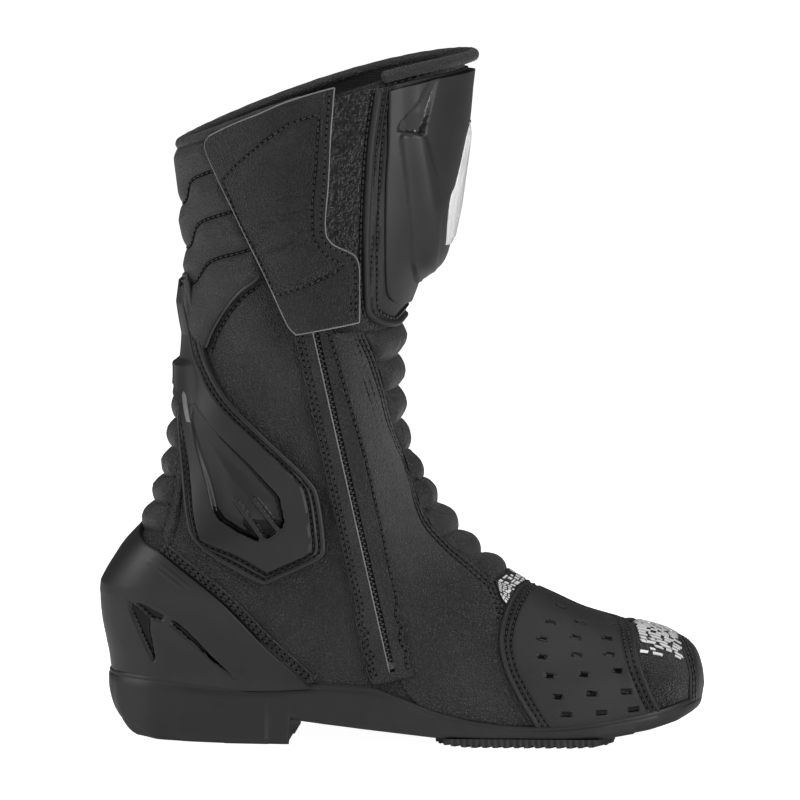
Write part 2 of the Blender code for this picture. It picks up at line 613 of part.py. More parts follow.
def build_bellows(parts):
    """The two ribbed flex zones of the ankle."""
    front = wrap(to_line(BELLOWS_EDGE, front_u(z=207.5), front_u(x=163), 2 * FRONT_RIBS + 1, 6))
    band = LEATHER[0], ribs(*front.shape[:2], FRONT_RIBS, RIB_HEIGHT)
    layer("front_bellows", front, band, "leather", parts)
    rear = wrap(to_line(REAR_BELLOWS_EDGE, back_u(172), back_u(111), 2 * REAR_RIBS + 1, 5, back=True))
    band = LEATHER[0], ribs(*rear.shape[:2], REAR_RIBS, RIB_HEIGHT)
    layer("rear_bellows", rear, band, "leather", parts)


def build_inside(parts):
    """The lining sock and the stiffeners between it and the leather."""
    v = np.linspace(0, 2 * math.pi, 23)
    start = 0.24 + 0.13 * np.cos(v) ** 2
    t = np.linspace(0, 1, 17)[:, None]
    lining = np.stack(np.broadcast_arrays(start + (18.9 - start) * t, v[None]), -1)
    layer("lining", lining, LINER, "textile", parts)
    rim = shifted(HEEL_CUP_EDGE[:-1], -8, -8) + [(38, 43)]
    layer("heel_counter", heel_wrap(rim[::-1], 74.0, 41.0, 13, 5, 6.0), STIFFENER, "board", parts)
    low = [(222, 20), (232, 21.5), (242, 23.5), (247.5, 26)]
    toe = wrap(to_line(low, front_u(x=222), front_u(x=249.5), 6, 6))
    layer("toe_puff", toe, STIFFENER, "board", parts)


# --- Armour ---------------------------------------------------------------------------------------


def build_armour(parts):
    """Hard and reinforced pieces that stand proud of the leather."""
    rim = HEEL_CUP_EDGE[::-1]
    layer("heel_cup", heel_wrap(rim, 105.5, 36.0, 13, 6), OVERLAY, "hard_shell", parts)
    top, low = [(-24, 68), (-6, 60), (8, 50), (27, 37)], [(-20, 42), (-8, 38), (4, 36.5), (26, 34)]
    inlay = between(top, low, 6, 4)
    layer("heel_inlay_inner", inlay, OVERLAY_TRIM, "gloss_trim", parts)
    layer("heel_inlay_outer", outer_side(inlay), OVERLAY_TRIM, "gloss_trim", parts)
    guard = band_over_foot(foot_edge(VAMP_REAR, 168.5), foot_edge(VAMP_FRONT, 217.5), 9, 9)
    layer("vamp_guard", guard, GUARD, "leather", parts)
    back, ahead = [(237, 24), (237.5, 34), (236, 44)], [(250, 25), (250.5, 32), (247, 41)]
    slider = outer_side(between(back, ahead, 5, 5))
    layer("toe_slider", slider, (GUARD[0], OVERLAY[1]), "hard_shell", parts)
    patch = between([(234, 45.5), (236, 40), (237, 35)], [(248.5, 38.5), (248.5, 35.5), (248, 33)], 4, 5)
    layer("toe_patch", patch, PATCH, "white_trim", parts)
    guard = between(GUARD_FRONT, GUARD_BACK, 16, 6)
    layer("ankle_guard_inner", guard, OVERLAY, "hard_shell", parts)
    layer("ankle_guard_outer", outer_side(guard), OVERLAY, "hard_shell", parts)
    insert = between(GUARD_INSERT_FRONT, GUARD_INSERT_BACK, 7, 4)
    layer("ankle_insert_inner", insert, OVERLAY_TRIM, "gloss_trim", parts)
    layer("ankle_insert_outer", outer_side(insert), OVERLAY_TRIM, "gloss_trim", parts)
    side = [(1.8, 227), (1.6, 200), (1.2, 186), (-1.5, 172)]
    brace = wrap(to_line(side, back_u(227), back_u(172), 7, 4, back=True))
    layer("rear_brace", brace, OVERLAY, "hard_shell", parts)
    v = math.pi + np.linspace(-0.13, 0.13, 5)
    strip = np.stack(np.meshgrid(np.linspace(back_u(218), back_u(180), 6), v, indexing="ij"), -1)
    layer("rear_brace_strip", strip, OVERLAY_TRIM, "steel", parts)
    plate = wrap(below(to_line(SHIN_PLATE_EDGE, 0.45, front_u(z=217.5), 14, 10), 0.12))
    layer("shin_plate", plate, (OVERLAY[0], OVERLAY[1] + shin_bulge(plate)), "hard_shell", parts)
    insert = wrap(to_line(SHIN_INSERT_EDGE, front_u(z=304), front_u(z=246), 9, 5))
    surface = OVERLAY[1] + shin_bulge(insert)
    layer("shin_insert", insert, (surface + INSERT_LIFT[0], surface + INSERT_LIFT[1]), "white_trim", parts)


def shin_bulge(grid):
    """How far the shin plate swells out beyond its plain lift."""
    points = form(grid[..., 0], grid[..., 1])
    x, z = points[..., 0], points[..., 2]
    ahead = np.clip((x - np.interp(z, BULGE_START_Z, BULGE_START_X)) / BULGE_RUN, 0, 1)
    return np.interp(z, SHIN_BULGE_Z, SHIN_BULGE) * ahead * ahead * (3 - 2 * ahead)


def below(grid, extra):
    """Keeps an overlay further below the collar than the leather under it."""
    v = grid[..., 1]
    return np.stack([np.maximum(grid[..., 0], 0.2 + extra + 0.13 * np.cos(v) ** 2), v], -1)


# --- Closure: flap, zip and collar ----------------------------------------------------------------


def flap_lift(grid):
    """Lift of the flap's inner face."""
    points = form(grid[..., 0], grid[..., 1])
    away = (points[..., 0] - zip_x(points[..., 2])) * 0.976
    return FLAP_EDGE_LIFT + FLAP_ARCH * np.exp(-((away / FLAP_ARCH_WIDTH) ** 2))


def zip_frame():
    """Unit axes of the zip: down its line, forward across it, and out of the boot."""
    along = (ZIP_BOTTOM - ZIP_TOP) / np.linalg.norm(ZIP_BOTTOM - ZIP_TOP)
    out = np.array((0.0, -1.0, 0.0))
    across = np.cross(out, along)
    across = across / np.linalg.norm(across)
    return along, across, np.cross(along, across)


def zip_point(z, lift):
    """A point on the zip line at height z, raised by lift."""
    share = (ZIP_TOP[2] - z) / (ZIP_TOP[2] - ZIP_BOTTOM[2])
    return ZIP_TOP + share * (ZIP_BOTTOM - ZIP_TOP) + lift * zip_frame()[2]


def build_flap(parts):
    """The padded flap that closes over the zip, with its hook and loop patches."""
    flap = under_collar(between(FLAP_BACK, FLAP_FRONT, 13, 12))
    flap[..., 0] = np.maximum(flap[..., 0], 0.02)
    inner = flap_lift(flap)
    obj = layer("closure_flap", flap, (inner, inner + FLAP_THICK), "leather", parts)
    set_origin(obj, FLAP_HINGE)
    patch = between([(23, 284), (33, 252)], [(32, 286), (41.5, 253)], 5, 3)
    layer("hook_patch", patch, (0.4, 1.2), "textile", parts)
    under = flap_lift(patch)
    obj = layer("loop_patch", patch, (under - 1.1, under - 0.35), "textile", parts)
    set_origin(obj, FLAP_HINGE)


def build_zip(parts):
    """Zip tapes, leather facings, chain, stops, slider and puller."""
    z_top, z_low = ZIP_TOP[2] - 2, ZIP_BOTTOM[2] + 4
    for name, side in (("rear", -1), ("front", 1)):
        near, far = zip_side(z_top, z_low, side * 1.0, 9), zip_side(z_top, z_low, side * 11.0, 9)
        layer(f"zip_tape_{name}", under_collar(between(near, far, 15, 4)), TAPE, "textile", parts)
        near = zip_side(z_top - 2, z_low - 1, side * (FACING_INNER + 1.0), 9)
        far = zip_side(z_top - 2, z_low - 1, side * FACING_OUTER, 9)
        facing = under_collar(between(near, far, 15, 3))
        layer(f"zip_facing_{name}", facing, FACING, "leather", parts)
    axes = zip_frame()
    top, low = zip_point(z_top - 6, -0.3), zip_point(z_low + 5, -0.3)
    box("zip_chain", (np.linalg.norm(top - low), 5.2, 1.7), (top + low) / 2, axes, "zip_plastic", parts)
    box("zip_stop_top", (2.4, 5.6, 1.8), zip_point(z_top - 4, -0.3), axes, "zip_metal", parts)
    box("zip_stop_bottom", (3.0, 5.6, 1.8), zip_point(z_low + 2.6, -0.3), axes, "zip_metal", parts)
    build_slider(parts, axes)


def build_slider(parts, axes):
    """The slider straddles the chain; its puller turns on a cross pin at its upper end."""
    along, across, out = axes
    at = zip_point(ZIP_TOP[2] - 12, 0.0)
    slider = box("zip_slider", (11.0, 9.0, 1.6), at + out * 3.2, axes, "zip_metal", parts, bevel=0.5)
    keel = box("slider_keel", (9.0, 2.4, 2.0), at + out * 1.9, axes, "zip_metal", parts)
    boolean(slider, keel, "UNION", parts)
    for k, side in enumerate((-1, 1)):
        foot = at + out * 5.1 + across * side * 2.5
        post = box(f"slider_post_{k}", (3.2, 1.2, 3.0), foot, axes, "zip_metal", parts)
        boolean(slider, post, "UNION", parts)
    set_origin(slider, tuple(at))
    pivot = at + out * 5.3
    pin = rod("zip_pin", 0.45, 3.0, pivot, across, "zip_metal", parts)
    set_origin(pin, tuple(pivot))
    puller = box("zip_puller", (20.0, 5.0, 1.3), pivot + along * 12.4, axes, "zip_metal", parts, bevel=0.4)
    neck = box("puller_neck", (4.0, 2.6, 1.3), pivot + along * 2.9, axes, "zip_metal", parts)
    boolean(puller, neck, "UNION", parts)
    set_origin(puller, tuple(pivot))


def build_collar(parts):
    """The rolled binding round the top of the shaft."""
    v = np.linspace(0, 2 * math.pi, 41)[:-1]
    centre = 0.08 + 0.13 * np.cos(v) ** 2
    a = np.linspace(0, 2 * math.pi, 7)[:-1]
    middle = lifted(centre, v, np.full(len(v), COLLAR_MIDDLE))
    n = normal(centre, v)
    along = np.roll(middle, -1, 0) - np.roll(middle, 1, 0)
    along = along / np.linalg.norm(along, axis=1, keepdims=True)
    up = np.cross(along, n)
    points = []
    for k in range(len(v)):
        for angle in a:
            points.append(middle[k] + COLLAR_RADIUS * (math.cos(angle) * n[k] + math.sin(angle) * up[k]))
    faces = []
    for k in range(len(v)):
        for j in range(len(a)):
            k2, j2 = (k + 1) % len(v), (j + 1) % len(a)
            faces.append((k * len(a) + j, k * len(a) + j2, k2 * len(a) + j2, k2 * len(a) + j))
    add_mesh("collar_binding", points, faces, "leather", parts, closed=True)


def set_origin(obj, point):
    """Moves the object's origin to point without moving its mesh."""
    shift = np.array(point) * MM
    for vertex in obj.data.vertices:
        vertex.co = np.array(vertex.co[:]) - shift
    obj.location = shift


def build():
    clear_scene()
    parts = bpy.data.collections.new("riding_boot_left")
    cutters = bpy.data.collections.new("cutters")
    bpy.context.scene.collection.children.link(parts)
    bpy.context.scene.collection.children.link(cutters)
    build_sole(parts, cutters)
    build_inside(parts)
    build_lower_upper(parts)
    build_shaft_leather(parts)
    build_bellows(parts)
    build_armour(parts)
    build_flap(parts)
    build_zip(parts)
    build_collar(parts)
    for obj in list(parts.objects):
        if obj.name.startswith(("slider_", "puller_neck")):
            move_to(obj, cutters)


build()
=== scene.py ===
"""Left riding boot, dressed for a studio picture.

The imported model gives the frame: where the boot is, how big it is, and how it moves. This script
replaces its plain solids with sewn leather, moulded armour, puffed ribs, zip teeth, thread and
textile.

Lengths are millimetres until a mesh is made. Like the frame, +X runs to the toe, +Y to the outer
side and +Z up. A place on the boot is (u, v) on its form: u counts sections from the collar to the
toe, and v is the angle round a section, 0 at the front and +90 degrees on the inner side. "lift"
is the distance out from the form.
"""

import math

import bpy
import numpy as np
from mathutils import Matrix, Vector


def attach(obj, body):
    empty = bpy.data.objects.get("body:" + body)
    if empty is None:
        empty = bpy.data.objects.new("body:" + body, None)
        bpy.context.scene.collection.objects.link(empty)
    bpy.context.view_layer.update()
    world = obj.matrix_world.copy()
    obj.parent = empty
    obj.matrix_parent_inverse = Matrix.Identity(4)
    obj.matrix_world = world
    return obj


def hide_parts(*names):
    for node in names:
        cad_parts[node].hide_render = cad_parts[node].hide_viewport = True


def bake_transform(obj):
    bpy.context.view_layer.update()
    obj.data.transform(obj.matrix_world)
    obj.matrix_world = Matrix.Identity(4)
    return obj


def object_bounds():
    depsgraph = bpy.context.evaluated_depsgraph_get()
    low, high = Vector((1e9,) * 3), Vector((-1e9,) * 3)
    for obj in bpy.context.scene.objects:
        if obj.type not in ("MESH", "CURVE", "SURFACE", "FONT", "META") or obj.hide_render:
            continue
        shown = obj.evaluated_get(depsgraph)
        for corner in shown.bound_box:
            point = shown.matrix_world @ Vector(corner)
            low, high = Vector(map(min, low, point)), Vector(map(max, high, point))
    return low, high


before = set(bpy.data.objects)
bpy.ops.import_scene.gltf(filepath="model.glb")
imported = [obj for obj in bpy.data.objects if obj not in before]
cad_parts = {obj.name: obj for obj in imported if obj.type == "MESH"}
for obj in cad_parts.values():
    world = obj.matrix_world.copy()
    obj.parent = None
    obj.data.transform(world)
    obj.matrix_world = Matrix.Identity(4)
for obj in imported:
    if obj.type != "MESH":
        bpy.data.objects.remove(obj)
CAD_BOX = [list(corner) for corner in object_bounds()]
DESIGN_LENGTH = 301.0  # the model's length in this script's millimetres
MM = (CAD_BOX[1][0] - CAD_BOX[0][0]) / DESIGN_LENGTH

# --- The boot form -------------------------------------------------------------------------------

# Sections: front x, z; back x, z; inner and outer half width; centre y; share where widest;
# roundness at front and back.
SECTIONS = np.array(
    [
        (139.5, 349.5, -4.5, 303.5, 52.0, 52.0, 0.0, 0.52, 2.1, 2.2),  # just above the collar
        (133.0, 302.0, -3.0, 268.0, 52.0, 52.0, 0.0, 0.52, 2.1, 2.2),
        (121.0, 252.0, 0.0, 238.0, 50.0, 50.0, 0.0, 0.52, 2.2, 2.2),
        (107.0, 214.0, 0.0, 212.0, 47.0, 47.0, 0.0, 0.51, 2.3, 2.2),
        (103.5, 190.0, 0.0, 186.0, 45.0, 45.0, 0.0, 0.50, 2.3, 2.2),
        (104.5, 164.0, -6.0, 160.0, 43.5, 43.0, 0.0, 0.50, 2.3, 2.2),
        (108.5, 140.0, -9.5, 135.0, 42.5, 42.0, 0.0, 0.50, 2.2, 2.2),  # ankle
        (117.0, 120.0, -18.0, 111.0, 42.0, 42.0, 0.0, 0.50, 2.1, 2.3),
        (128.0, 108.5, -32.0, 92.0, 42.0, 42.0, 0.0, 0.50, 2.0, 2.4),
        (139.0, 97.5, -41.0, 70.0, 41.5, 41.5, 0.0, 0.48, 2.0, 2.3),  # instep to back of heel
        (150.0, 88.5, -39.0, 44.0, 40.0, 41.0, 0.0, 0.49, 2.0, 2.4),
        (160.0, 81.0, -31.0, 22.0, 40.0, 41.5, 0.0, 0.50, 2.0, 2.6),
        (170.0, 75.0, 8.0, 17.0, 41.0, 43.0, 0.0, 0.54, 2.0, 3.6),
        (182.0, 69.5, 60.0, 16.5, 43.5, 45.0, 0.0, 0.60, 2.0, 5.0),  # arch
        (196.0, 63.0, 112.0, 11.0, 46.0, 47.0, 1.0, 0.68, 2.1, 6.0),
        (211.0, 58.5, 155.0, 8.0, 47.0, 48.0, 1.0, 0.70, 2.1, 6.0),  # ball of the foot
        (226.0, 54.5, 193.0, 8.0, 45.0, 47.0, 0.0, 0.70, 2.2, 6.0),
        (238.0, 51.0, 222.0, 11.0, 38.0, 41.0, -2.0, 0.66, 2.3, 5.0),
        (247.0, 45.0, 240.0, 14.0, 28.0, 31.0, -5.0, 0.60, 2.3, 4.0),
        (252.0, 36.0, 250.0, 16.0, 16.0, 17.0, -8.0, 0.55, 2.3, 3.0),
        (254.5, 28.0, 254.0, 18.0, 0.6, 0.6, -9.0, 0.50, 2.0, 2.0),  # tip of the toe
    ]
)
LAST = len(SECTIONS) - 1
ZIP_TOP = np.array((43.5, -48.5, 311.0))
ZIP_BOTTOM = np.array((105.5, -45.5, 34.0))
ZIP_BLEND = 20.0
SOLE_X = np.array(
    (
        -45.0, -38.0, -12.0, 23.0, 40.0, 58.0, 75.0, 93.0, 108.0, 128.0, 148.0, 173.0, 193.0, 218.0,
        238.0, 260.0,
    )
)
SOLE_TOP = np.array(
    (34.0, 33.5, 32.0, 29.0, 29.0, 30.0, 31.0, 30.0, 25.0, 17.5, 13.0, 11.0, 12.0, 15.5, 19.0, 26.0)
)
UNDER_X = (-45, 52.6, 53.4, 73, 108, 125, 150, 190, 213, 233, 248, 258)
UNDER_Z = (0, 0, 12.3, 10, 6.5, 4.6, 3.9, 4.0, 4.8, 8, 11.5, 15.5)
PLAN_X = (
    -42.3, -41, -38.5, -36, -30, -20, -10, 0, 20, 40, 60, 75, 90, 110, 145, 185, 205, 215, 225, 235,
    242, 248, 252, 254.5, 256.5,
)
PLAN_INNER = (
    2, 9, 14.5, 19, 24.5, 30.5, 34, 36.8, 40.2, 42, 43.4, 44.6, 46.8, 48, 48, 47.4, 46.3, 44.5, 42.3,
    39, 35.2, 30, 24.5, 19, 11,
)
PLAN_OUTER = (
    2, 9, 14.5, 19, 25, 31.5, 35.2, 38, 41.6, 44, 45.6, 46.4, 47.2, 49, 51, 50, 48, 45.2, 41, 34.6, 28,
    19, 10, 2.5, -6,
)


def section(u):
    """The section values at u, by a smooth curve through SECTIONS."""
    u = np.clip(np.asarray(u, float), 0, LAST)
    i = np.minimum(u.astype(int), LAST - 1)
    t = (u - i)[..., None]
    here, after = SECTIONS[i], SECTIONS[i + 1]
    before = np.where((i == 0)[..., None], 2 * here - after, SECTIONS[np.maximum(i - 1, 0)])
    beyond = np.where((i == LAST - 1)[..., None], 2 * after - here, SECTIONS[np.minimum(i + 2, LAST)])
    bend = 2 * before - 5 * here + 4 * after - beyond
    twist = 3 * here - before - 3 * after + beyond
    return 0.5 * (2 * here + (after - before) * t + bend * t**2 + twist * t**3)


def zip_x(z):
    return ZIP_TOP[0] + (ZIP_TOP[2] - z) / (ZIP_TOP[2] - ZIP_BOTTOM[2]) * (ZIP_BOTTOM[0] - ZIP_TOP[0])


def form(u, v):
    """Points of the form, in millimetres."""
    u, v = np.broadcast_arrays(np.asarray(u, float), np.asarray(v, float))
    row = section(u)
    share = (1 - np.cos(v)) / 2
    widest = row[..., 7]
    t = np.where(share < widest, (widest - share) / widest, (share - widest) / (1 - widest))
    power = np.where(share < widest, row[..., 8], row[..., 9])
    round_off = np.clip(1 - np.clip(t, 0, 1) ** power, 0, 1) ** (1 / power)
    inner = np.sin(v) >= 0
    y = row[..., 6] + np.where(inner, -row[..., 4], row[..., 5]) * round_off
    x = row[..., 0] + share * (row[..., 2] - row[..., 0])
    z = row[..., 1] + share * (row[..., 3] - row[..., 1])
    down = (ZIP_TOP[2] - z) / (ZIP_TOP[2] - ZIP_BOTTOM[2])
    zip_y = ZIP_TOP[1] + down * (ZIP_BOTTOM[1] - ZIP_TOP[1])
    near = np.exp(-(((x - zip_x(z)) / ZIP_BLEND) ** 2)) * np.clip(4 * round_off, 0, 1)
    return np.stack([x, y + np.where(inner, (zip_y - y) * near, 0), z], -1)


def normal(u, v):
    """Unit normals of the form, pointing out of the boot."""
    step = 3e-3
    along = form(np.minimum(u + step, LAST), v) - form(np.maximum(u - step, 0), v)
    around = form(u, v + step) - form(u, v - step)
    n = np.cross(around, along)
    return n / np.maximum(np.linalg.norm(n, axis=-1, keepdims=True), 1e-9)


def lifted(u, v, lift):
    return form(u, v) + np.asarray(lift, float)[..., None] * normal(u, v)


def place(points):
    """(u, v) on the inner side for side-view points (x, z)."""
    points = np.asarray(points, float).reshape(-1, 2)
    out = [place_some(points[k : k + 400]) for k in range(0, len(points), 400)]
    return np.concatenate(out)


def place_some(points):
    grid = np.linspace(0, LAST, 2001)
    rows = section(grid)
    front, run = rows[:, :2], rows[:, 2:4] - rows[:, :2]
    gap = points[:, None, :] - front[None]
    side = run[None, :, 0] * gap[..., 1] - run[None, :, 1] * gap[..., 0]
    share = (gap * run[None]).sum(-1) / (run**2).sum(-1)[None]
    crosses = (side[:, 1:] * side[:, :-1] <= 0) & (share[:, 1:] > -0.06) & (share[:, 1:] < 1.06)
    i = np.argmax(crosses, axis=1)
    pick = np.arange(len(points))
    a, b = side[pick, i], side[pick, i + 1]
    t = a / np.where(a == b, 1, a - b)
    u = grid[i] + t * (grid[1] - grid[0])
    s = np.clip(share[pick, i] + t * (share[pick, i + 1] - share[pick, i]), 0, 1)
    return np.stack([u, np.arccos(1 - 2 * s)], -1)


def back_u(z):
    grid = np.linspace(0, 11, 1101)
    return float(np.interp(-z, -section(grid)[:, 3], grid))


def front_u(x=None, z=None):
    grid = np.linspace(0, LAST, 2001)
    rows = section(grid)
    if z is not None:
        return float(np.interp(-z, -rows[:, 1], grid))
    foot = grid > 4
    return float(np.interp(x, rows[foot, 0], grid[foot]))


def sole_top(x):
    return np.interp(x, SOLE_X, SOLE_TOP)


# --- Curves and grids of (u, v) ------------------------------------------------------------------


def resample(points, count):
    """count points evenly spaced along a polyline of any dimension."""
    points = np.asarray(points, float)
    steps = np.r_[0, np.cumsum(np.linalg.norm(np.diff(points, axis=0), axis=1))]
    return along_line(points, steps, np.linspace(0, steps[-1], count))


def along_line(points, steps, at):
    return np.stack([np.interp(at, steps, points[:, k]) for k in range(points.shape[1])], -1)


def smooth(points, per_span=12):
    """A smooth curve through side-view points."""
    p = np.asarray(points, float)
    if len(p) < 3:
        return resample(p, per_span)
    p = np.concatenate([[2 * p[0] - p[1]], p, [2 * p[-1] - p[-2]]])
    t = np.linspace(0, 1, per_span, endpoint=False)[:, None]
    out = []
    for a, b, c, d in zip(p, p[1:], p[2:], p[3:]):
        out.append(
            0.5 * (
                2 * b + (c - a) * t + (2 * a - 5 * b + 4 * c - d) * t**2
                + (3 * b - a - 3 * c + d) * t**3
            )
        )
    return np.concatenate(out + [p[-2][None]])


def path(*pieces):
    """One polyline from smooth stretches that meet at corners."""
    return np.concatenate([smooth(piece) for piece in pieces])


def shifted(edge, dx, dz=0.0):
    return [(x + dx, z + dz) for x, z in edge]


def spread(count, close=1.5, length=60.0):
    """Even steps from 0 to 1, with extra ones within close of each end of a side of length."""
    ends = np.array((0, 0.12, 0.3, 0.6, 1.0)) * min(close / max(length, 1e-6), 0.2)
    return np.unique(np.r_[ends, np.linspace(ends[-1], 1 - ends[-1], max(count, 2)), 1 - ends])


def edge_length(points):
    return float(np.linalg.norm(np.diff(np.asarray(points, float), axis=0), axis=1).sum())


def rule(a, b, rows_at, columns_at):
    """A grid ruled between two (u, v) curves, each read at rows_at of its length."""
    out = []
    for curve in (a, b):
        world = form(curve[:, 0], curve[:, 1])
        steps = np.r_[0, np.cumsum(np.linalg.norm(np.diff(world, axis=0), axis=1))]
        out.append(along_line(np.asarray(curve, float), steps, rows_at * steps[-1]))
    t = columns_at[None, :, None]
    return out[0][:, None] * (1 - t) + out[1][:, None] * t


def between(first, second, step=1.2):
    """A fine grid on the inner side between two side-view curves."""
    a, b = place(first), place(second)
    length = max(edge_length(first), edge_length(second))
    gap = np.linalg.norm(form(a[:, 0], a[:, 1])[len(a) // 2] - form(b[:, 0], b[:, 1])[len(b) // 2])
    width = max(gap, edge_length([first[0], second[0]]), edge_length([first[-1], second[-1]]))
    return rule(a, b, spread(int(length / step), 1.5, length), spread(int(width / step), 1.5, width))


def line_curve(u_from, u_to, back=False, count=80):
    """The front line, or the back line, as a (u, v) curve."""
    return np.stack([np.linspace(u_from, u_to, count), np.full(count, math.pi if back else 0.0)], -1)


def to_line(edge, u_from, u_to, back=False, step=1.2, width=60.0):
    """A fine grid from a side-view edge to the front or back line: one half of a wrapped panel."""
    length = edge_length(edge)
    columns = spread(int(width / step), 1.5, width)
    columns = columns[columns <= 1]
    return rule(
        place(edge), line_curve(u_from, u_to, back), spread(int(length / step), 1.5, length), columns,
    )


def wrap(grid):
    """Joins a grid whose last column is on the front or back line to its mirror image."""
    mirror = np.stack([grid[..., 0], -grid[..., 1]], -1)[:, ::-1]
    if grid[0, -1, 1] > 3:
        mirror = mirror + np.array((0, 2 * math.pi))
    return np.concatenate([grid, mirror[:, 1:]], 1)


def outer_side(grid):
    return np.stack([grid[..., 0], -grid[..., 1]], -1)[:, ::-1]


def collar_limit(v):
    """u of the collar's centre line."""
    return 0.08 + 0.13 * np.cos(v) ** 2


def under_collar(grid, extra=0.06):
    v = grid[..., 1]
    return np.stack([np.maximum(grid[..., 0], collar_limit(v) + extra), v], -1)


def above_sole(grid, gap=-2.0):
    """Brings the lower edge of a grid down or up to the rim of the sole."""
    fine = np.linspace(0, math.pi, 241)
    u, v = grid[..., 0], grid[..., 1]
    sign = np.where(v < 0, -1.0, 1.0)
    points = form(u[..., None], fine)
    low = points[..., 2] < sole_top(points[..., 0]) + gap
    low &= fine > 0.4
    limit = np.where(low.any(-1), fine[np.argmax(low, -1)], math.pi)
    return np.stack([u, sign * np.minimum(np.abs(v), limit)], -1)


# --- Distances and surface relief ----------------------------------------------------------------


def edge_distances(grid):
    """Distances of each grid point, along the surface, from the four sides of its grid."""
    points = form(grid[..., 0], grid[..., 1])
    across = np.linalg.norm(np.diff(points, axis=1), axis=-1)
    down = np.linalg.norm(np.diff(points, axis=0), axis=-1)
    left = np.concatenate([np.zeros((len(grid), 1)), np.cumsum(across, 1)], 1)
    top = np.concatenate([np.zeros((1, grid.shape[1])), np.cumsum(down, 0)], 0)
    return {"left": left, "right": left[:, -1:] - left, "top": top, "bottom": top[-1:] - top}


def polyline_distance(points, line):
    """Distance from side-view points to a polyline."""
    line = np.asarray(line, float)
    a, run = line[:-1], np.diff(line, axis=0)
    gap = points[:, None, :] - a[None]
    t = np.clip((gap * run).sum(-1) / np.maximum((run**2).sum(-1), 1e-9), 0, 1)
    return np.sqrt(((gap - t[..., None] * run) ** 2).sum(-1)).min(1)


def inside(points, outline):
    """True for side-view points within a closed outline."""
    x, z = points[:, :1], points[:, 1:]
    a = np.asarray(outline, float)
    b = np.roll(a, -1, 0)
    spans = (a[:, 1] > z) != (b[:, 1] > z)
    cut = a[:, 0] + (z - a[:, 1]) * (b[:, 0] - a[:, 0]) / np.where(
        b[:, 1] == a[:, 1], 1e-9, b[:, 1] - a[:, 1],
    )
    return (np.sum(spans & (x < cut), axis=1) % 2).astype(bool)


def depth_inside(grid, outline):
    """Signed side-view distance of grid points to a closed outline, positive inside."""
    points = form(grid[..., 0], grid[..., 1])[..., [0, 2]].reshape(-1, 2)
    outline = np.asarray(outline, float)
    out = np.full(len(points), -99.0)
    near = np.all((points > outline.min(0) - 6) & (points < outline.max(0) + 6), axis=1)
    closed = np.concatenate([outline, outline[:1]])
    if near.any():
        away = polyline_distance(points[near], closed)
        out[near] = np.where(inside(points[near], outline), away, -away)
    return out.reshape(grid.shape[:2])


def distance_to(grid, line):
    points = form(grid[..., 0], grid[..., 1])[..., [0, 2]].reshape(-1, 2)
    return polyline_distance(points, line).reshape(grid.shape[:2])


def step_up(value, width=0.8):
    """0 below zero rising smoothly to 1 at width."""
    t = np.clip(np.asarray(value) / width, 0, 1)
    return t * t * (3 - 2 * t)


def dent(distance, width=0.8):
    """A smooth groove profile: 1 on the line, 0 well away from it."""
    return np.exp(-((np.asarray(distance) / width) ** 2))


WAVES = np.random.default_rng(7).normal(size=(10, 3))
PHASES = np.random.default_rng(8).uniform(0, 2 * math.pi, 10)


def ripple(grid, size):
    """Soft irregular waviness, about -1 to 1, with features of the given size."""
    points = form(grid[..., 0], grid[..., 1]) / size
    return np.sin(points @ WAVES.T * 1.6 + PHASES).sum(-1) / 4.0


# --- Making pieces -------------------------------------------------------------------------------


def new_object(name, points, faces, finish, smooth_angle=50):
    mesh = bpy.data.meshes.new(name)
    mesh.from_pydata([], [], [])
    points = np.asarray(points, np.float32) * MM
    mesh.vertices.add(len(points))
    mesh.vertices.foreach_set("co", points.ravel())
    loops = np.concatenate([np.asarray(f, np.int32).ravel() for f in faces])
    sizes = np.concatenate([np.full(len(f), np.asarray(f).shape[1], np.int32) for f in faces])
    mesh.loops.add(len(loops))
    mesh.loops.foreach_set("vertex_index", loops)
    mesh.polygons.add(len(sizes))
    mesh.polygons.foreach_set("loop_start", np.r_[0, np.cumsum(sizes)[:-1]].astype(np.int32))
    mesh.update(calc_edges=True)
    mesh.validate()
    mesh.shade_smooth()
    if smooth_angle:
        mesh.set_sharp_from_angle(angle=math.radians(smooth_angle))
    mesh.materials.append(finish)
    obj = bpy.data.objects.new(name, mesh)
    bpy.context.scene.collection.objects.link(obj)
    return obj


def grid_quads(rows, columns, flip=False, start=0):
    i, j = np.meshgrid(np.arange(rows - 1), np.arange(columns - 1), indexing="ij")
    a = (start + i * columns + j).ravel()
    quads = np.stack([a, a + 1, a + columns + 1, a + columns], 1)
    return quads[:, ::-1] if flip else quads


def goes(obj, where, *nodes, slot=None):
    """Says which body a piece rides on, and which of the model's plain solids it stands for."""
    if where == "soft":
        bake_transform(obj)
    elif where == "gusset":
        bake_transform(obj)
    else:
        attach(obj, where)
    if nodes:
        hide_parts(*nodes)
    return obj


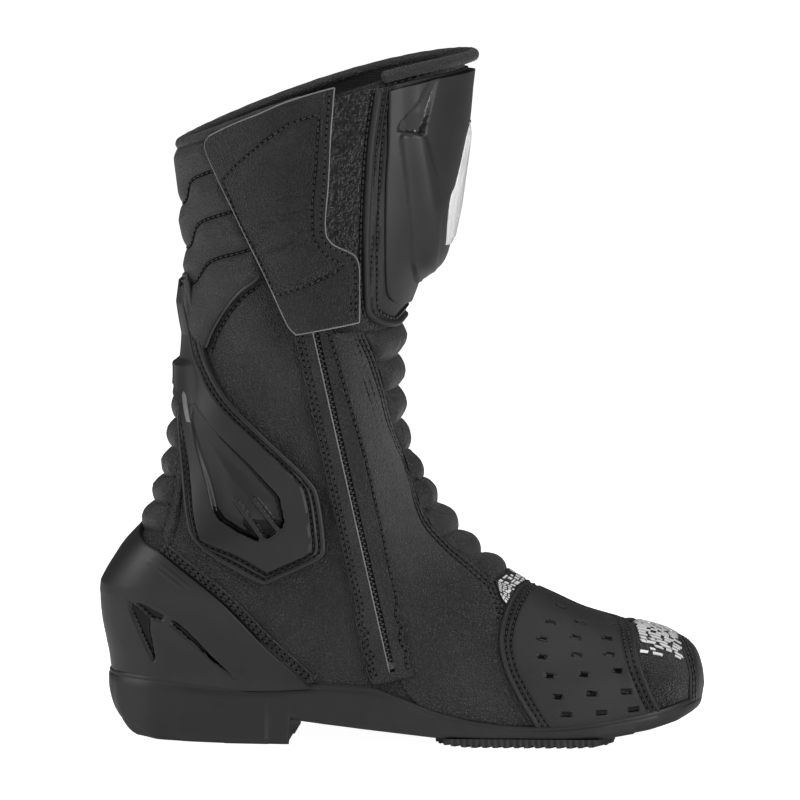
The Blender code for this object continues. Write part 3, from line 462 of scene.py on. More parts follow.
def panel(
    name, grid, low, high, finish, bevel=1.0, relief=0.0, sides=("left", "right", "top", "bottom"),
):
    """A sheet at lift high + relief, rounded over at its free sides and turned down to lift low."""
    away = edge_distances(grid)
    near = np.min([away[side] for side in sides], axis=0)
    drop = bevel - np.sqrt(np.clip(bevel**2 - (bevel - np.minimum(near, bevel)) ** 2, 0, None))
    lift = high + relief - drop
    sheet = lifted(grid[..., 0], grid[..., 1], lift)
    base = lifted(grid[..., 0], grid[..., 1], np.broadcast_to(np.asarray(low, float), lift.shape))
    facing = np.cross(np.diff(sheet, axis=1)[:-1], np.diff(sheet, axis=0)[:, :-1])
    inward = bool(np.sum(facing * normal(grid[..., 0], grid[..., 1])[:-1, :-1]) < 0)
    top, below = np.concatenate(
        [base[:1], sheet, base[-1:]]
    ), np.concatenate([base[:1], base, base[-1:]])
    full = np.concatenate([below[:, :1], top, below[:, -1:]], 1)
    rows, columns = full.shape[:2]
    return new_object(name, full.reshape(-1, 3), [grid_quads(rows, columns, flip=inward)], finish)


def inset_line(grid, side, distance):
    """The (u, v) line at a distance along the surface from one side of a grid."""
    away = edge_distances(grid)[side]
    if side in ("left", "right"):
        rows = [row_cross(away[i], grid[i], distance) for i in range(len(grid))]
    else:
        rows = [row_cross(away[:, j], grid[:, j], distance) for j in range(grid.shape[1])]
    return np.array(rows)


def row_cross(away, line, distance):
    order = np.argsort(away)
    return [np.interp(distance, away[order], line[order, k]) for k in (0, 1)]


def tube(name, points, out, radius, finish, closed=False, sides=8, squash=1.0):
    """A round bead along points, with out the direction away from the boot."""
    points = np.asarray(points, float)
    if closed:
        along = np.roll(points, -1, 0) - np.roll(points, 1, 0)
    else:
        along = np.gradient(points, axis=0)
    along = along / np.maximum(np.linalg.norm(along, axis=1, keepdims=True), 1e-9)
    across = np.cross(along, out)
    across = across / np.maximum(np.linalg.norm(across, axis=1, keepdims=True), 1e-9)
    out = np.cross(across, along)
    radius = np.broadcast_to(np.asarray(radius, float), (len(points),)).copy()
    if not closed:
        radius[[0, -1]] *= 0.15
        radius[[1, -2]] *= 0.8
    angle = np.linspace(0, 2 * math.pi, sides, endpoint=False)
    turn = angle[None, :, None]
    ring = across[:, None] * np.cos(turn) + out[:, None] * np.sin(turn) * squash
    verts = points[:, None] + ring * radius[:, None, None]
    rows = len(points) if closed else len(points) - 1
    i, j = np.meshgrid(np.arange(rows), np.arange(sides), indexing="ij")
    i2, j2 = (i + 1) % len(points), (j + 1) % sides
    quads = np.stack(
        [i * sides + j, i * sides + j2, i2 * sides + j2, i2 * sides + j], -1,
    ).reshape(-1, 4)[:, ::-1]
    return new_object(name, verts.reshape(-1, 3), [quads], finish)


def bead(name, line, lift, radius, finish, step=1.4, squash=1.0):
    """Piping laid along a (u, v) line."""
    points, out = surface_line(line, lift, step)
    return tube(name, points, out, radius, finish, squash=squash)


def surface_line(line, lift, step):
    """Evenly spaced points and normals along a (u, v) line."""
    line = np.asarray(line, float)
    world = form(line[:, 0], line[:, 1])
    steps = np.r_[0, np.cumsum(np.linalg.norm(np.diff(world, axis=0), axis=1))]
    count = max(int(steps[-1] / step), 2)
    at = along_line(line, steps, np.linspace(0, steps[-1], count))
    return lifted(at[:, 0], at[:, 1], np.full(len(at), float(lift))), normal(at[:, 0], at[:, 1])


def joined(name, objects):
    """Several objects made into one."""
    parts, faces, start = [], [], 0
    for obj in objects:
        mesh = obj.data
        co = np.empty(len(mesh.vertices) * 3, np.float32)
        mesh.vertices.foreach_get("co", co)
        parts.append(co.reshape(-1, 3) / MM)
        loops = np.empty(len(mesh.loops), np.int32)
        mesh.loops.foreach_get("vertex_index", loops)
        sizes = np.empty(len(mesh.polygons), np.int32)
        mesh.polygons.foreach_get("loop_total", sizes)
        starts = np.r_[0, np.cumsum(sizes)[:-1]]
        for size in np.unique(sizes):
            pick = starts[sizes == size]
            faces.append(loops[pick[:, None] + np.arange(size)] + start)
        start += len(mesh.vertices)
    finish = objects[0].data.materials[0]
    for obj in objects:
        bpy.data.objects.remove(obj, do_unlink=True)
    return new_object(name, np.concatenate(parts), faces, finish)


# --- Thread --------------------------------------------------------------------------------------

STITCH_PITCH, STITCH_LENGTH, STITCH_WIDTH, STITCH_HEIGHT = 3.1, 2.35, 0.75, 0.5
SEAMS = {}
# Dark matte strips under stitch rows and along seams, in the seam_shadow finish: painted shade of the
# grooves.
GROOVE_SHADE_STRIPS = {}
GROOVE_SHADE_RADIUS = 0.72


def sew(line, lift, body="soft", pitch=STITCH_PITCH, finish="thread", groove_shade=GROOVE_SHADE_RADIUS):
    """Marks a row of stitches along a (u, v) line, with a dark strip of painted groove shade under it.
    """
    points, out = surface_line(line, lift, pitch)
    middle = (points[1:] + points[:-1]) / 2
    SEAMS.setdefault((body, finish), []).append((middle, points[1:] - points[:-1], out[1:]))
    GROOVE_SHADE_STRIPS.setdefault(body, []).append((*surface_line(line, lift - 0.22, 1.5), groove_shade))


def sew_grid(grid, side, distances, lift, body="soft", trim=(0, 0)):
    """Rows of stitches at distances in from one side of a panel."""
    for distance in distances:
        line = inset_line(grid, side, distance)
        world = form(line[:, 0], line[:, 1])
        steps = np.r_[0, np.cumsum(np.linalg.norm(np.diff(world, axis=0), axis=1))]
        keep = (steps >= trim[0]) & (steps <= steps[-1] - trim[1])
        if keep.sum() > 2:
            sew(line[keep], lift, body)


def stitch_shape():
    """One stitch: a short rounded capsule lying along x."""
    angle = np.linspace(0, 2 * math.pi, 6, endpoint=False)
    verts = [(-0.5, 0, 0)]
    for x, r in ((-0.44, 0.6), (-0.22, 1.0), (0.22, 1.0), (0.44, 0.6)):
        verts += [(x, math.cos(a) * r / 2, math.sin(a) * r / 2) for a in angle]
    verts.append((0.5, 0, 0))
    quads = []
    for ring in range(3):
        for j in range(6):
            a, b = 1 + ring * 6 + j, 1 + ring * 6 + (j + 1) % 6
            quads.append((a, a + 6, b + 6, b))
    ends = [(0, 1 + j, 1 + (j + 1) % 6) for j in range(6)]
    ends += [(25, 19 + (j + 1) % 6, 19 + j) for j in range(6)]
    return np.array(verts), np.array(quads), np.array(ends)


def build_thread(materials):
    verts, quads, ends = stitch_shape()
    for (body, finish), rows in SEAMS.items():
        middle = np.concatenate([row[0] for row in rows])
        along = np.concatenate([row[1] for row in rows])
        out = np.concatenate([row[2] for row in rows])
        along = along / np.maximum(np.linalg.norm(along, axis=1, keepdims=True), 1e-9)
        across = np.cross(out, along)
        across = across / np.maximum(np.linalg.norm(across, axis=1, keepdims=True), 1e-9)
        up = np.cross(along, across)
        x = verts[:, 0] * STITCH_LENGTH
        y, z = verts[:, 1] * STITCH_WIDTH, verts[:, 2] * STITCH_HEIGHT
        points = middle[:, None] + along[:, None] * x[:, None]
        points = points + across[:, None] * y[:, None] + up[:, None] * z[:, None]
        start = (np.arange(len(middle)) * len(verts))[:, None, None]
        faces = [(quads[None] + start).reshape(-1, 4), (ends[None] + start).reshape(-1, 3)]
        obj = new_object(
            f"{finish}_{body}", points.reshape(-1, 3), faces, materials[finish], smooth_angle=0,
        )
        goes(obj, body)
    # Each stitch row's dark strip is painted shade of its groove.
    for body, rows in GROOVE_SHADE_STRIPS.items():
        groove_shades = [
            tube("groove_shade", points, out, r, materials["seam_shadow"], sides=6, squash=0.35)
            for points, out, r in rows
        ]
        goes(joined(f"seam_groove_shade_{body}", groove_shades), body)


# --- More ways to lay out pieces -----------------------------------------------------------------


def crossings(grid, side, distance):
    """Where each row or column is at a distance from one side, with its distances to all sides."""
    away = edge_distances(grid)
    data = np.dstack([grid, away["left"], away["right"], away["top"], away["bottom"]])
    key = away[side]
    if side in ("top", "bottom"):
        data, key = data.transpose(1, 0, 2), key.T
    out = []
    for row, far in zip(data, key):
        order = np.argsort(far)
        out.append([np.interp(distance, far[order], row[order, k]) for k in range(6)])
    return np.array(out)


def border(grid, distance, sides=("left", "bottom", "right", "top")):
    """The (u, v) line at a distance in from several sides of a panel, in order round it."""
    names = ["left", "right", "top", "bottom"]
    out = []
    for side in sides:
        line = crossings(grid, side, distance)
        keep = np.ones(len(line), bool)
        for other in sides:
            if other != side:
                keep &= line[:, 2 + names.index(other)] > distance * 0.98
        line = line[keep, :2]
        out.append(line[::-1] if side in ("right", "top") else line)
    return np.concatenate(out)


def close_line(line):
    return np.concatenate([line, line[:1]])


def sheet(name, grid, lift, finish, flip=False, smooth_angle=60):
    """A plain surface over a grid, facing out, or in when flipped."""
    lift = np.broadcast_to(np.asarray(lift, float), grid.shape[:2])
    points = lifted(grid[..., 0], grid[..., 1], lift)
    facing = np.cross(np.diff(points, axis=1)[:-1], np.diff(points, axis=0)[:, :-1])
    inward = bool(np.sum(facing * normal(grid[..., 0], grid[..., 1])[:-1, :-1]) < 0)
    faces = grid_quads(*grid.shape[:2], flip=inward != flip)
    return new_object(name, points.reshape(-1, 3), [faces], finish, smooth_angle)


def second_finish(obj, mask, finish):
    """Gives the faces of a panel whose grid points are in mask another material."""
    obj.data.materials.append(finish)
    full = np.zeros((mask.shape[0] + 2, mask.shape[1] + 2), bool)
    full[1:-1, 1:-1] = mask
    chosen = full[:-1, :-1] & full[1:, :-1] & full[:-1, 1:] & full[1:, 1:]
    obj.data.polygons.foreach_set("material_index", chosen.ravel().astype(np.int32))


def foot_edge(points, front_x):
    """A (u, v) edge from the front line at front_x down through side-view points to the sole."""
    return np.concatenate([[(front_u(x=front_x), 0.0)], place(smooth(points, 8))])


def foot_band(rear, ahead, step):
    """A wrapped grid over the foot between two (u, v) edges; its rows run towards the toe."""
    count = int(115 / step)
    sides = []
    for edge in (rear, ahead):
        v = np.linspace(0, edge[-1, 1], count)
        sides.append(np.stack([np.interp(v, edge[:, 1], edge[:, 0]), v], -1))
    rows = spread(int(58 / step), 1.5, 58)[:, None, None]
    grid = (sides[0][None] * (1 - rows) + sides[1][None] * rows)[:, ::-1]
    return wrap(above_sole(grid, -1.5))


def heel_grid(rim, top_z, low_z, step=0.9):
    """A wrapped grid round the heel below a rim; its rows run down to the sole."""
    a = np.concatenate([place(smooth(rim, 10)), [(back_u(top_z), math.pi)]])
    low = [(x, float(sole_top(x)) - 1.5) for x in np.linspace(rim[0][0] + 1.5, -30, 12)]
    b = np.concatenate([place(low), [(back_u(low_z), math.pi)]])
    length = 120.0
    grid = rule(a, b, spread(int(length / step), 1.5, length), spread(int(70 / step), 1.5, 70))
    return wrap(grid.transpose(1, 0, 2))


# --- Puffed panels by cloth simulation -----------------------------------------------------------

CLOTH_SCALE = 20.0  # the simulation runs on a copy this many times larger
CLOTH_FRAMES = 20


def puff(grid, lift, pinned, cap, pressure=4.0, slack=0.06):
    """Lets a panel swell like padded leather held at its pinned points, and returns its new lift."""
    base = form(grid[..., 0], grid[..., 1])
    out = normal(grid[..., 0], grid[..., 1])
    start = base + out * lift[..., None]
    mesh = bpy.data.meshes.new("cloth_copy")
    mesh.from_pydata(
        (start.reshape(-1, 3) * 0.001 * CLOTH_SCALE).tolist(), [], grid_quads(*lift.shape).tolist(),
    )
    obj = bpy.data.objects.new("cloth_copy", mesh)
    bpy.context.scene.collection.objects.link(obj)
    facing = np.array(mesh.polygons[len(mesh.polygons) // 2].normal[:])
    middle = out.reshape(-1, 3)[mesh.polygons[len(mesh.polygons) // 2].vertices[0]]
    group = obj.vertex_groups.new(name="held")
    held = np.flatnonzero(pinned.ravel())
    group.add(held.tolist(), 1.0, "REPLACE")
    cloth = obj.modifiers.new("Cloth", "CLOTH")
    settings = cloth.settings
    settings.quality = 5
    settings.mass = 0.3
    settings.tension_stiffness = settings.compression_stiffness = 18
    settings.shear_stiffness = 6
    settings.bending_stiffness = 0.6
    settings.air_damping = 2.0
    settings.use_pressure = True
    settings.uniform_pressure_force = pressure if facing @ middle > 0 else -pressure
    settings.shrink_min = -slack
    settings.vertex_group_mass = "held"
    settings.pin_stiffness = 1.0
    settings.effector_weights.gravity = 0.0
    cloth.collision_settings.use_collision = False
    scene = bpy.context.scene
    for frame_number in range(1, CLOTH_FRAMES + 1):
        scene.frame_set(frame_number)
    result = obj.evaluated_get(bpy.context.evaluated_depsgraph_get()).data
    points = np.empty(len(result.vertices) * 3, np.float32)
    result.vertices.foreach_get("co", points)
    scene.frame_set(1)
    bpy.data.objects.remove(obj, do_unlink=True)
    moved = points.reshape(base.shape).astype(float) / CLOTH_SCALE / 0.001
    swollen = ((moved - base) * out).sum(-1)
    swollen = np.where(np.isfinite(swollen), swollen, lift)
    return np.clip(swollen, lift - 0.5, np.minimum(lift + 1.6, cap))


# --- Outlines on the inner side, as (x, z) -------------------------------------------------------

BELLOWS_EDGE = [
    (89.5, 206), (94, 194), (98.5, 176.5), (101.5, 162), (106, 146), (111.5, 128.5), (118.5, 112),
]
BELLOWS_EDGE += [(130, 98.5), (142, 88), (153, 78.5)]
COLLAR_OPENING = (62, 321), (99, 333)
STRIP_EDGE = [(85, 205.5), (90.5, 187.5), (97, 164.5), (101.5, 144), (108, 122)]
REAR_BELLOWS_EDGE = [(1.0, 172), (-1.0, 150), (-4.5, 125), (-9.5, 105)]
HEEL_CUP_EDGE = [(63, 29.5), (53, 38.5), (39, 51), (20.5, 70), (3, 84), (-12, 95)]
GUARD_FRONT = [
    (3, 233), (6.6, 217), (10.9, 196), (16.2, 183), (24.6, 170.5), (42.6, 152.5), (63.7, 132.4),
    (69, 121.8),
]
GUARD_FRONT += [(71.7, 98.6), (69, 93.5)]
GUARD_BACK = [(-2.2, 171), (-2.2, 164), (-0.8, 146), (2.9, 111.3), (6, 103), (10, 99)]
GUARD_LOW = [(41, 80.3), (10, 99)]
BRACE_Z = (160, 173, 186, 189.5, 202, 217.5, 232)
BRACE_OUT = (0, 1.4, 3.8, 0.4, -0.6, 1.8, 0.2)
INSERT_OUTLINE = [
    (7, 172), (5.8, 159.4), (8.2, 147.2), (13, 130.3), (16.2, 116), (19.3, 111.3), (27.8, 106),
]
INSERT_OUTLINE += [
    (37.3, 101.8), (44, 103.5), (50, 107.6), (51.5, 112), (48.9, 124.5), (46.8, 127), (34.1, 140.9),
]
INSERT_OUTLINE += [(20.4, 154.1), (10.9, 165.7)]
INSERT_RIGHT = [(51.5, 112), (48.9, 124.5), (46.8, 127), (34.1, 140.9), (20.4, 154.1)]
INSERT_LOW = [(16.2, 116), (19.3, 111.3), (27.8, 106), (37.3, 101.8)]
INSERT_FINS = [[(27.5, 121.5), (41.5, 101.5)], [(36, 123), (49.5, 105.5)]]
FLAP_BACK = [(16.5, 303), (15.3, 295), (29, 264.5), (41, 238), (52.5, 212.5), (58, 206)]
FLAP_PAD = [
    (69.5, 315.5), (56, 311), (42, 302), (30, 290), (23.3, 281.5), (30, 264), (39, 245), (47.5, 225.5),
]
FLAP_PAD += [(62, 230), (76, 237), (79.5, 241), (72, 246), (67, 254), (66.5, 268), (68.3, 290)]
FLAP_FRONT = [
    (76.8, 328.5), (75, 304), (74, 281), (72.6, 260), (75.5, 251.5), (86, 244), (86.5, 228),
    (85.5, 211.5),
]
SHIN_BASE_EDGE = [
    (96.5, 328), (93, 305), (91, 281), (89.5, 250), (89.5, 222), (91, 214), (97.5, 209.3),
    (103.5, 208.3),
]
SHIN_PLATE_EDGE = [
    (102, 326), (101.5, 300), (100.3, 281), (99.6, 250), (99.6, 227), (101.6, 221.3), (105.3, 219),
]
SHIN_INSERT_EDGE = [
    (134.4, 309), (132, 299.5), (129.3, 289.5), (126.3, 279.5), (124.1, 274.5), (122.6, 269),
]
SHIN_INSERT_EDGE += [(121.6, 264), (120.7, 259), (119.9, 254), (119.1, 250)]
BULGE_Z = (221, 226, 231, 236, 246, 252, 268, 281, 301, 325)
BULGE = (0, 1, 5.0, 7.4, 7.8, 7.4, 6.4, 5.0, 3.4, 2.2)
BULGE_START_Z, BULGE_START_X = (227, 239, 248, 278, 305), (112.0, 110.2, 110.2, 109.4, 107.2)
BULGE_RUN = 8.0
CHANNEL = [
    (107.2, 304.5), (109.4, 278), (110.4, 256), (110.6, 240), (111.5, 231), (113, 228), (115, 232),
    (115.6, 239),
]
CHANNEL += [(117.2, 252), (119.5, 265.6), (120, 283.5), (117, 302), (116.4, 304.5)]
CHANNEL_BACK = ((113, 111.5, 110.6, 110.4, 109.4, 107.2), (228, 231, 240, 256, 278, 304.5))
SCOOP = [
    (123.5, 333), (116.5, 307.6), (116.4, 304.5), (106.7, 306.4), (107.2, 310.3), (114.8, 321),
    (120.5, 333),
]
VAMP_REAR = [(164, 75), (159.5, 66), (157, 53.5), (159.5, 41), (165.5, 28.5), (173, 16), (177, 10)]
VAMP_FRONT = [(223.5, 51), (227.5, 38.5), (233, 26), (237.5, 17)]
QUILT_FRONT = [
    (12, 300), (20, 283), (31, 260), (41, 238), (37, 232), (29.5, 226), (22, 217), (15.5, 206),
    (11.5, 196),
]
QUILT_VALLEYS = [
    [(-3, 266), (1, 270), (4, 279.5), (14.5, 285), (30, 290)],
    [(-3, 243), (3, 247), (8, 258.5), (23, 265), (40, 270)],
    [(-3, 225), (5.5, 229), (14, 240), (30.5, 246), (45, 250)],
]
HEEL_TRIANGLE = [
    (-26.5, 70.7), (-15.6, 62), (-16, 56.6), (-13.5, 42.2), (-14.4, 39.5), (-20.2, 51), (-25.8, 64.4),
]
HEEL_UPPER_DIP = [(-23.7, 70.4), (-17, 68.6), (-8, 64.5), (-9, 60.4), (-15, 61.6)]
HEEL_WEDGE = [(-5.4, 63), (2, 57.5), (15.1, 44), (32, 28.5), (15, 41), (-6.1, 59.5)]
SLOTS = [
    [(181, 73.5), (188.5, 71.5)],
    [(185.5, 69), (196, 67), (207, 65)],
    [(185.5, 65), (197.5, 62.5), (211, 60)],
    [(181.5, 59), (196, 58), (210.5, 56.5)],
    [(178, 52), (194.5, 52), (210, 51)],
    [(178.5, 44), (195.5, 44.5), (211.5, 44.5)],
    [(182.5, 35.5), (199.5, 36), (216, 37.5)],
    [(186.5, 26), (203.5, 27.5), (220, 28.5)],
    [(191, 17.5), (208, 18.5), (223.5, 20)],
]
FRONT_RIBS, REAR_RIBS = 9, 5


def both(build, m):
    """Runs a builder for the inner side and the outer side."""
    for side, flip in (("inner", lambda grid: grid), ("outer", outer_side)):
        build(side, flip, m)


def zip_side(z_from, z_to, offset, count=24):
    """Side-view points alongside the zip line, offset forward of it."""
    run = np.array((ZIP_BOTTOM[0] - ZIP_TOP[0], ZIP_BOTTOM[2] - ZIP_TOP[2]))
    run = run / np.linalg.norm(run)
    return [(zip_x(z) - run[1] * offset, z + run[0] * offset) for z in np.linspace(z_from, z_to, count)]


def xz(grid):
    points = form(grid[..., 0], grid[..., 1])
    return points[..., 0], points[..., 2]


# --- Leather -------------------------------------------------------------------------------------


def toe_swell(u, v):
    """How far the toe cap stands out beyond the form."""
    points = form(u, v)
    return 3.1 * step_up(points[..., 0] - 216, 9) * step_up(points[..., 2] - 20, 22)


def build_base(m):
    """One leather skin under everything else, from the collar down into the sole."""
    u = np.r_[np.linspace(0.12, 10.2, 250), np.linspace(10.22, 11.2, 46), np.linspace(11.23, 19.9, 200)]
    t = np.linspace(-1, 1, 341)
    grid = np.stack(np.broadcast_arrays(u[:, None], t[None] * math.pi), -1).copy()
    limit = above_sole(np.stack([u, np.full(len(u), math.pi)], -1)[:, None], -2.5)[:, 0, 1]
    grid[..., 1] = t[None] * limit[:, None]
    x, z = xz(grid)
    lift = 0.22 * ripple(grid, 16) + 0.1 * ripple(grid, 5.5) - 0.35
    crease = step_up(155 - z, 30) * step_up(z - 70, 25) * step_up(x - 60, 25)
    lift += 0.45 * crease * np.sin((z + 0.6 * x) / 3.4 + 1.5 * ripple(grid, 20))
    base = sheet("leather_body", grid, lift + toe_swell(grid[..., 0], grid[..., 1]), m["leather"])
    goes(
        base, "soft", "inner_rear_quarter", "outer_quarter", "heel_leather", "achilles_panel", "vamp",
        "toe_cap",
    )
    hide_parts("inner_upper_panel", "outer_upper_panel")


def build_front_quarter(side, flip, m):
    """The leather panel between the zip and the front bellows, double stitched along the bellows."""
    first = zip_side(205.5, 34, 3.2)
    low = [(x, float(sole_top(x)) - 1.0) for x in np.linspace(119, 176, 14)]
    seam = [(153, 78.5), (158.2, 69)] + VAMP_REAR[1:]
    edge = path(BELLOWS_EDGE, seam)
    grid = flip(between(np.array(first + low), edge, 1.2))
    away = edge_distances(grid)
    front = away["right" if side == "inner" else "left"]
    relief = 0.18 * ripple(grid, 13) - 0.45 * dent(front - 2.2, 0.7) - 0.45 * dent(front - 4.6, 0.7)
    # This panel's leather is painted paler between two heights: a painted highlight.
    obj = panel(f"front_quarter_{side}", grid, -0.8, 1.0, m["leather_painted_highlight"], bevel=0.9, relief=relief)
    goes(obj, "soft", slot="leather")
    if side == "inner":
        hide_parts("inner_front_quarter")
    sew_grid(grid, "right" if side == "inner" else "left", (2.2, 4.6), 0.95, trim=(1, 62))
    for back in (0, 2.4):
        line = place(smooth([(x - back, z) for x, z in STRIP_EDGE]))
        sew(line * (1, 1 if side == "inner" else -1), 0.95)


def build_heel_strip(side, flip, m):
    """The double-stitched band of leather along the top edge of the heel cup."""
    outer = np.array(shifted(HEEL_CUP_EDGE, 3.4, 4.0))
    grid = flip(between(smooth(outer), smooth(shifted(HEEL_CUP_EDGE, -1.5, -1.8)), 1.0))
    away = edge_distances(grid)
    relief = -0.4 * sum(dent(away["left" if side == "inner" else "right"] - d, 0.6) for d in (1.4, 3.4))
    goes(
        panel(f"heel_strip_{side}", grid, -0.6, 1.5, m["leather"], bevel=0.8, relief=relief), "soft",
        slot="leather",
    )
    sew_grid(grid, "left" if side == "inner" else "right", (1.4, 3.4), 1.5)


def build_achilles_strip(side, flip, m):
    """The narrow double-stitched strip between the rear bellows and the ankle guard."""
    near = [(4.5, 173), (2.0, 150), (-1.0, 125), (-5.0, 104), (-8.5, 98)]
    grid = flip(between(smooth(REAR_BELLOWS_EDGE), smooth(near), 0.9))
    away = edge_distances(grid)
    relief = -0.35 * (dent(away["left"] - 1.2, 0.5) + dent(away["right"] - 1.2, 0.5))
    goes(
        panel(f"achilles_strip_{side}", grid, -0.6, 1.6, m["leather"], 0.8, relief), "soft",
        slot="leather",
    )
    sew_grid(grid, "left", (1.2,), 1.35)
    sew_grid(grid, "right", (1.2,), 1.35)


def build_calf_seam(side, flip, m):
    """The piped seam where the calf quilt meets the side leather."""
    line = place(smooth([(11.5, 196), (15.5, 206), (22, 217), (29.5, 226), (37, 232), (41, 238)]))
    if side == "outer":
        line = line * (1, -1)
    goes(bead(f"calf_piping_{side}", line, 0.9, 0.95, m["gloss_trim"], 1.2), "shaft", slot="gloss_trim")
    line = place(smooth([(13.5, 194), (17.5, 204.5), (24, 215.5), (31, 223.6), (39, 229.5)]))
    if side == "outer":
        line = line * (1, -1)
    sew(line, 0.15, "shaft")


# --- Puffed ribs ---------------------------------------------------------------------------------


def rib_lift(grid, count, height, power=0.62):
    """Ribs down a panel's rows, pinched in at its two sides."""
    away = edge_distances(grid)
    side = np.minimum(away["left"], away["right"])
    span = edge_profile(grid)
    wave = np.abs(np.sin(span * count * math.pi)) ** power
    return height * wave[:, None] * np.sqrt(np.clip(side / 2.6, 0.05, 1)), np.abs(
        np.sin(span * count * math.pi)
    )


def edge_profile(grid):
    """Share of the way down a grid at each row, measured along its middle column."""
    points = form(grid[:, grid.shape[1] // 2, 0], grid[:, grid.shape[1] // 2, 1])
    steps = np.r_[0, np.cumsum(np.linalg.norm(np.diff(points, axis=0), axis=1))]
    return steps / steps[-1]


def build_ribs(name, grid, count, height, cap, m, node, fill=0.0):
    """A ribbed leather zone, swollen by cloth simulation between its valleys."""
    lift, wave = rib_lift(grid, count, height * 0.75)
    away = edge_distances(grid)
    side = np.minimum(away["left"], away["right"])
    z = form(grid[..., 0], grid[..., 1])[..., 2]
    lift = lift + fill * step_up(side, 5.0) * np.exp(-(((z - 124) / 17.0) ** 2))
    held = (wave[:, None] < 0.12) | (np.minimum(away["left"], away["right"]) < 0.8)
    lift = puff(grid, lift, held, cap + fill)
    lift = lift + 0.12 * ripple(grid, 6) * np.clip(
        wave[:, None] * 2, 0, 1,
    ) - 0.5 * (wave[:, None] < 0.1)
    obj = sheet(name, grid, lift, m["leather_soft"], smooth_angle=80)
    goes(obj, "soft", node, slot="leather")
    span = edge_profile(grid)
    for k in range(1, count):
        row = int(np.argmin(np.abs(span - k / count)))
        sew(grid[row, 4:-4], float(np.median(lift[row])) + 0.05, "soft", 2.2, groove_shade=0.7)


def build_bellows(m):
    edge = shifted(BELLOWS_EDGE, 0.4, -0.2)
    grid = wrap(rib_grid(smooth(edge), front_u(z=207.5), front_u(x=158.5), False, 0.95))
    build_ribs("bellows_front", grid, FRONT_RIBS, 4.2, 5.2, m, "front_bellows", 3.6)
    grid = wrap(rib_grid(smooth(REAR_BELLOWS_EDGE), back_u(173), back_u(104), True, 0.95))
    build_ribs("bellows_rear", grid, REAR_RIBS, 4.0, 5.0, m, "rear_bellows", 1.6)


def rib_grid(edge, u_from, u_to, back, step):
    """An evenly fine grid from a side-view edge to the front or back line."""
    line = line_curve(u_from, u_to, back)
    columns = np.linspace(0, 1, int((50 if back else 62) / step))
    return rule(place(edge), line, np.linspace(0, 1, int(edge_length(edge) * 1.15 / step)), columns)


def build_quilt(m):
    """The padded calf, with stitched valleys that sweep forward and up."""
    back = line_curve(back_u(301), back_u(214), True)
    edge = place(smooth(QUILT_FRONT))
    grid = rule(edge, back, np.linspace(0, 1, 190), np.linspace(0, 1, 105))
    grid = wrap(under_collar(grid))
    away = np.min([distance_to(grid, smooth(line)) for line in QUILT_VALLEYS], axis=0)
    sides = edge_distances(grid)
    rim = np.min([sides["left"], sides["right"], sides["top"], sides["bottom"] + 2], axis=0)
    swell = np.clip((away - 0.7) / 10.0, 0, 1) ** 0.6 * np.sqrt(np.clip(rim / 5.0, 0, 1))
    lift = 0.2 + 3.3 * swell
    lift = puff(grid, lift, (away < 1.0) | (rim < 0.9), 4.8, pressure=3.0)
    lift = lift + 0.15 * ripple(grid, 9) * swell
    goes(
        sheet("calf_ribs", grid, lift, m["leather_soft"], smooth_angle=80), "shaft", "calf_quilt",
        "calf_padding", slot="leather",
    )
    for line in QUILT_VALLEYS:
        for sign in (1, -1):
            sew(place(smooth(line)[3:-8]) * (1, sign), 0.6, "shaft", groove_shade=0.85)


# --- Armour --------------------------------------------------------------------------------------


def guard_grid(step=0.47):
    """The ankle guard: its front edge, and a back edge that starts on the back line of the boot."""
    front = place(smooth(GUARD_FRONT, 10))
    upper = line_curve(back_u(231), back_u(172), True, 40)
    lower = place(smooth(GUARD_BACK, 10))
    back = np.concatenate([upper, lower[1:]])
    low_front, low_back = place([GUARD_LOW[0]]), place([GUARD_LOW[1]])
    front = np.concatenate([front, place(np.linspace(GUARD_FRONT[-1], GUARD_LOW[0], 14))[1:]])
    rows = spread(int(200 / step), 1.5, 200)
    columns = spread(int(62 / step), 1.5, 62)
    return rule(front, np.concatenate([back, low_back * 0.999 + low_front * 0.001]), rows, columns)


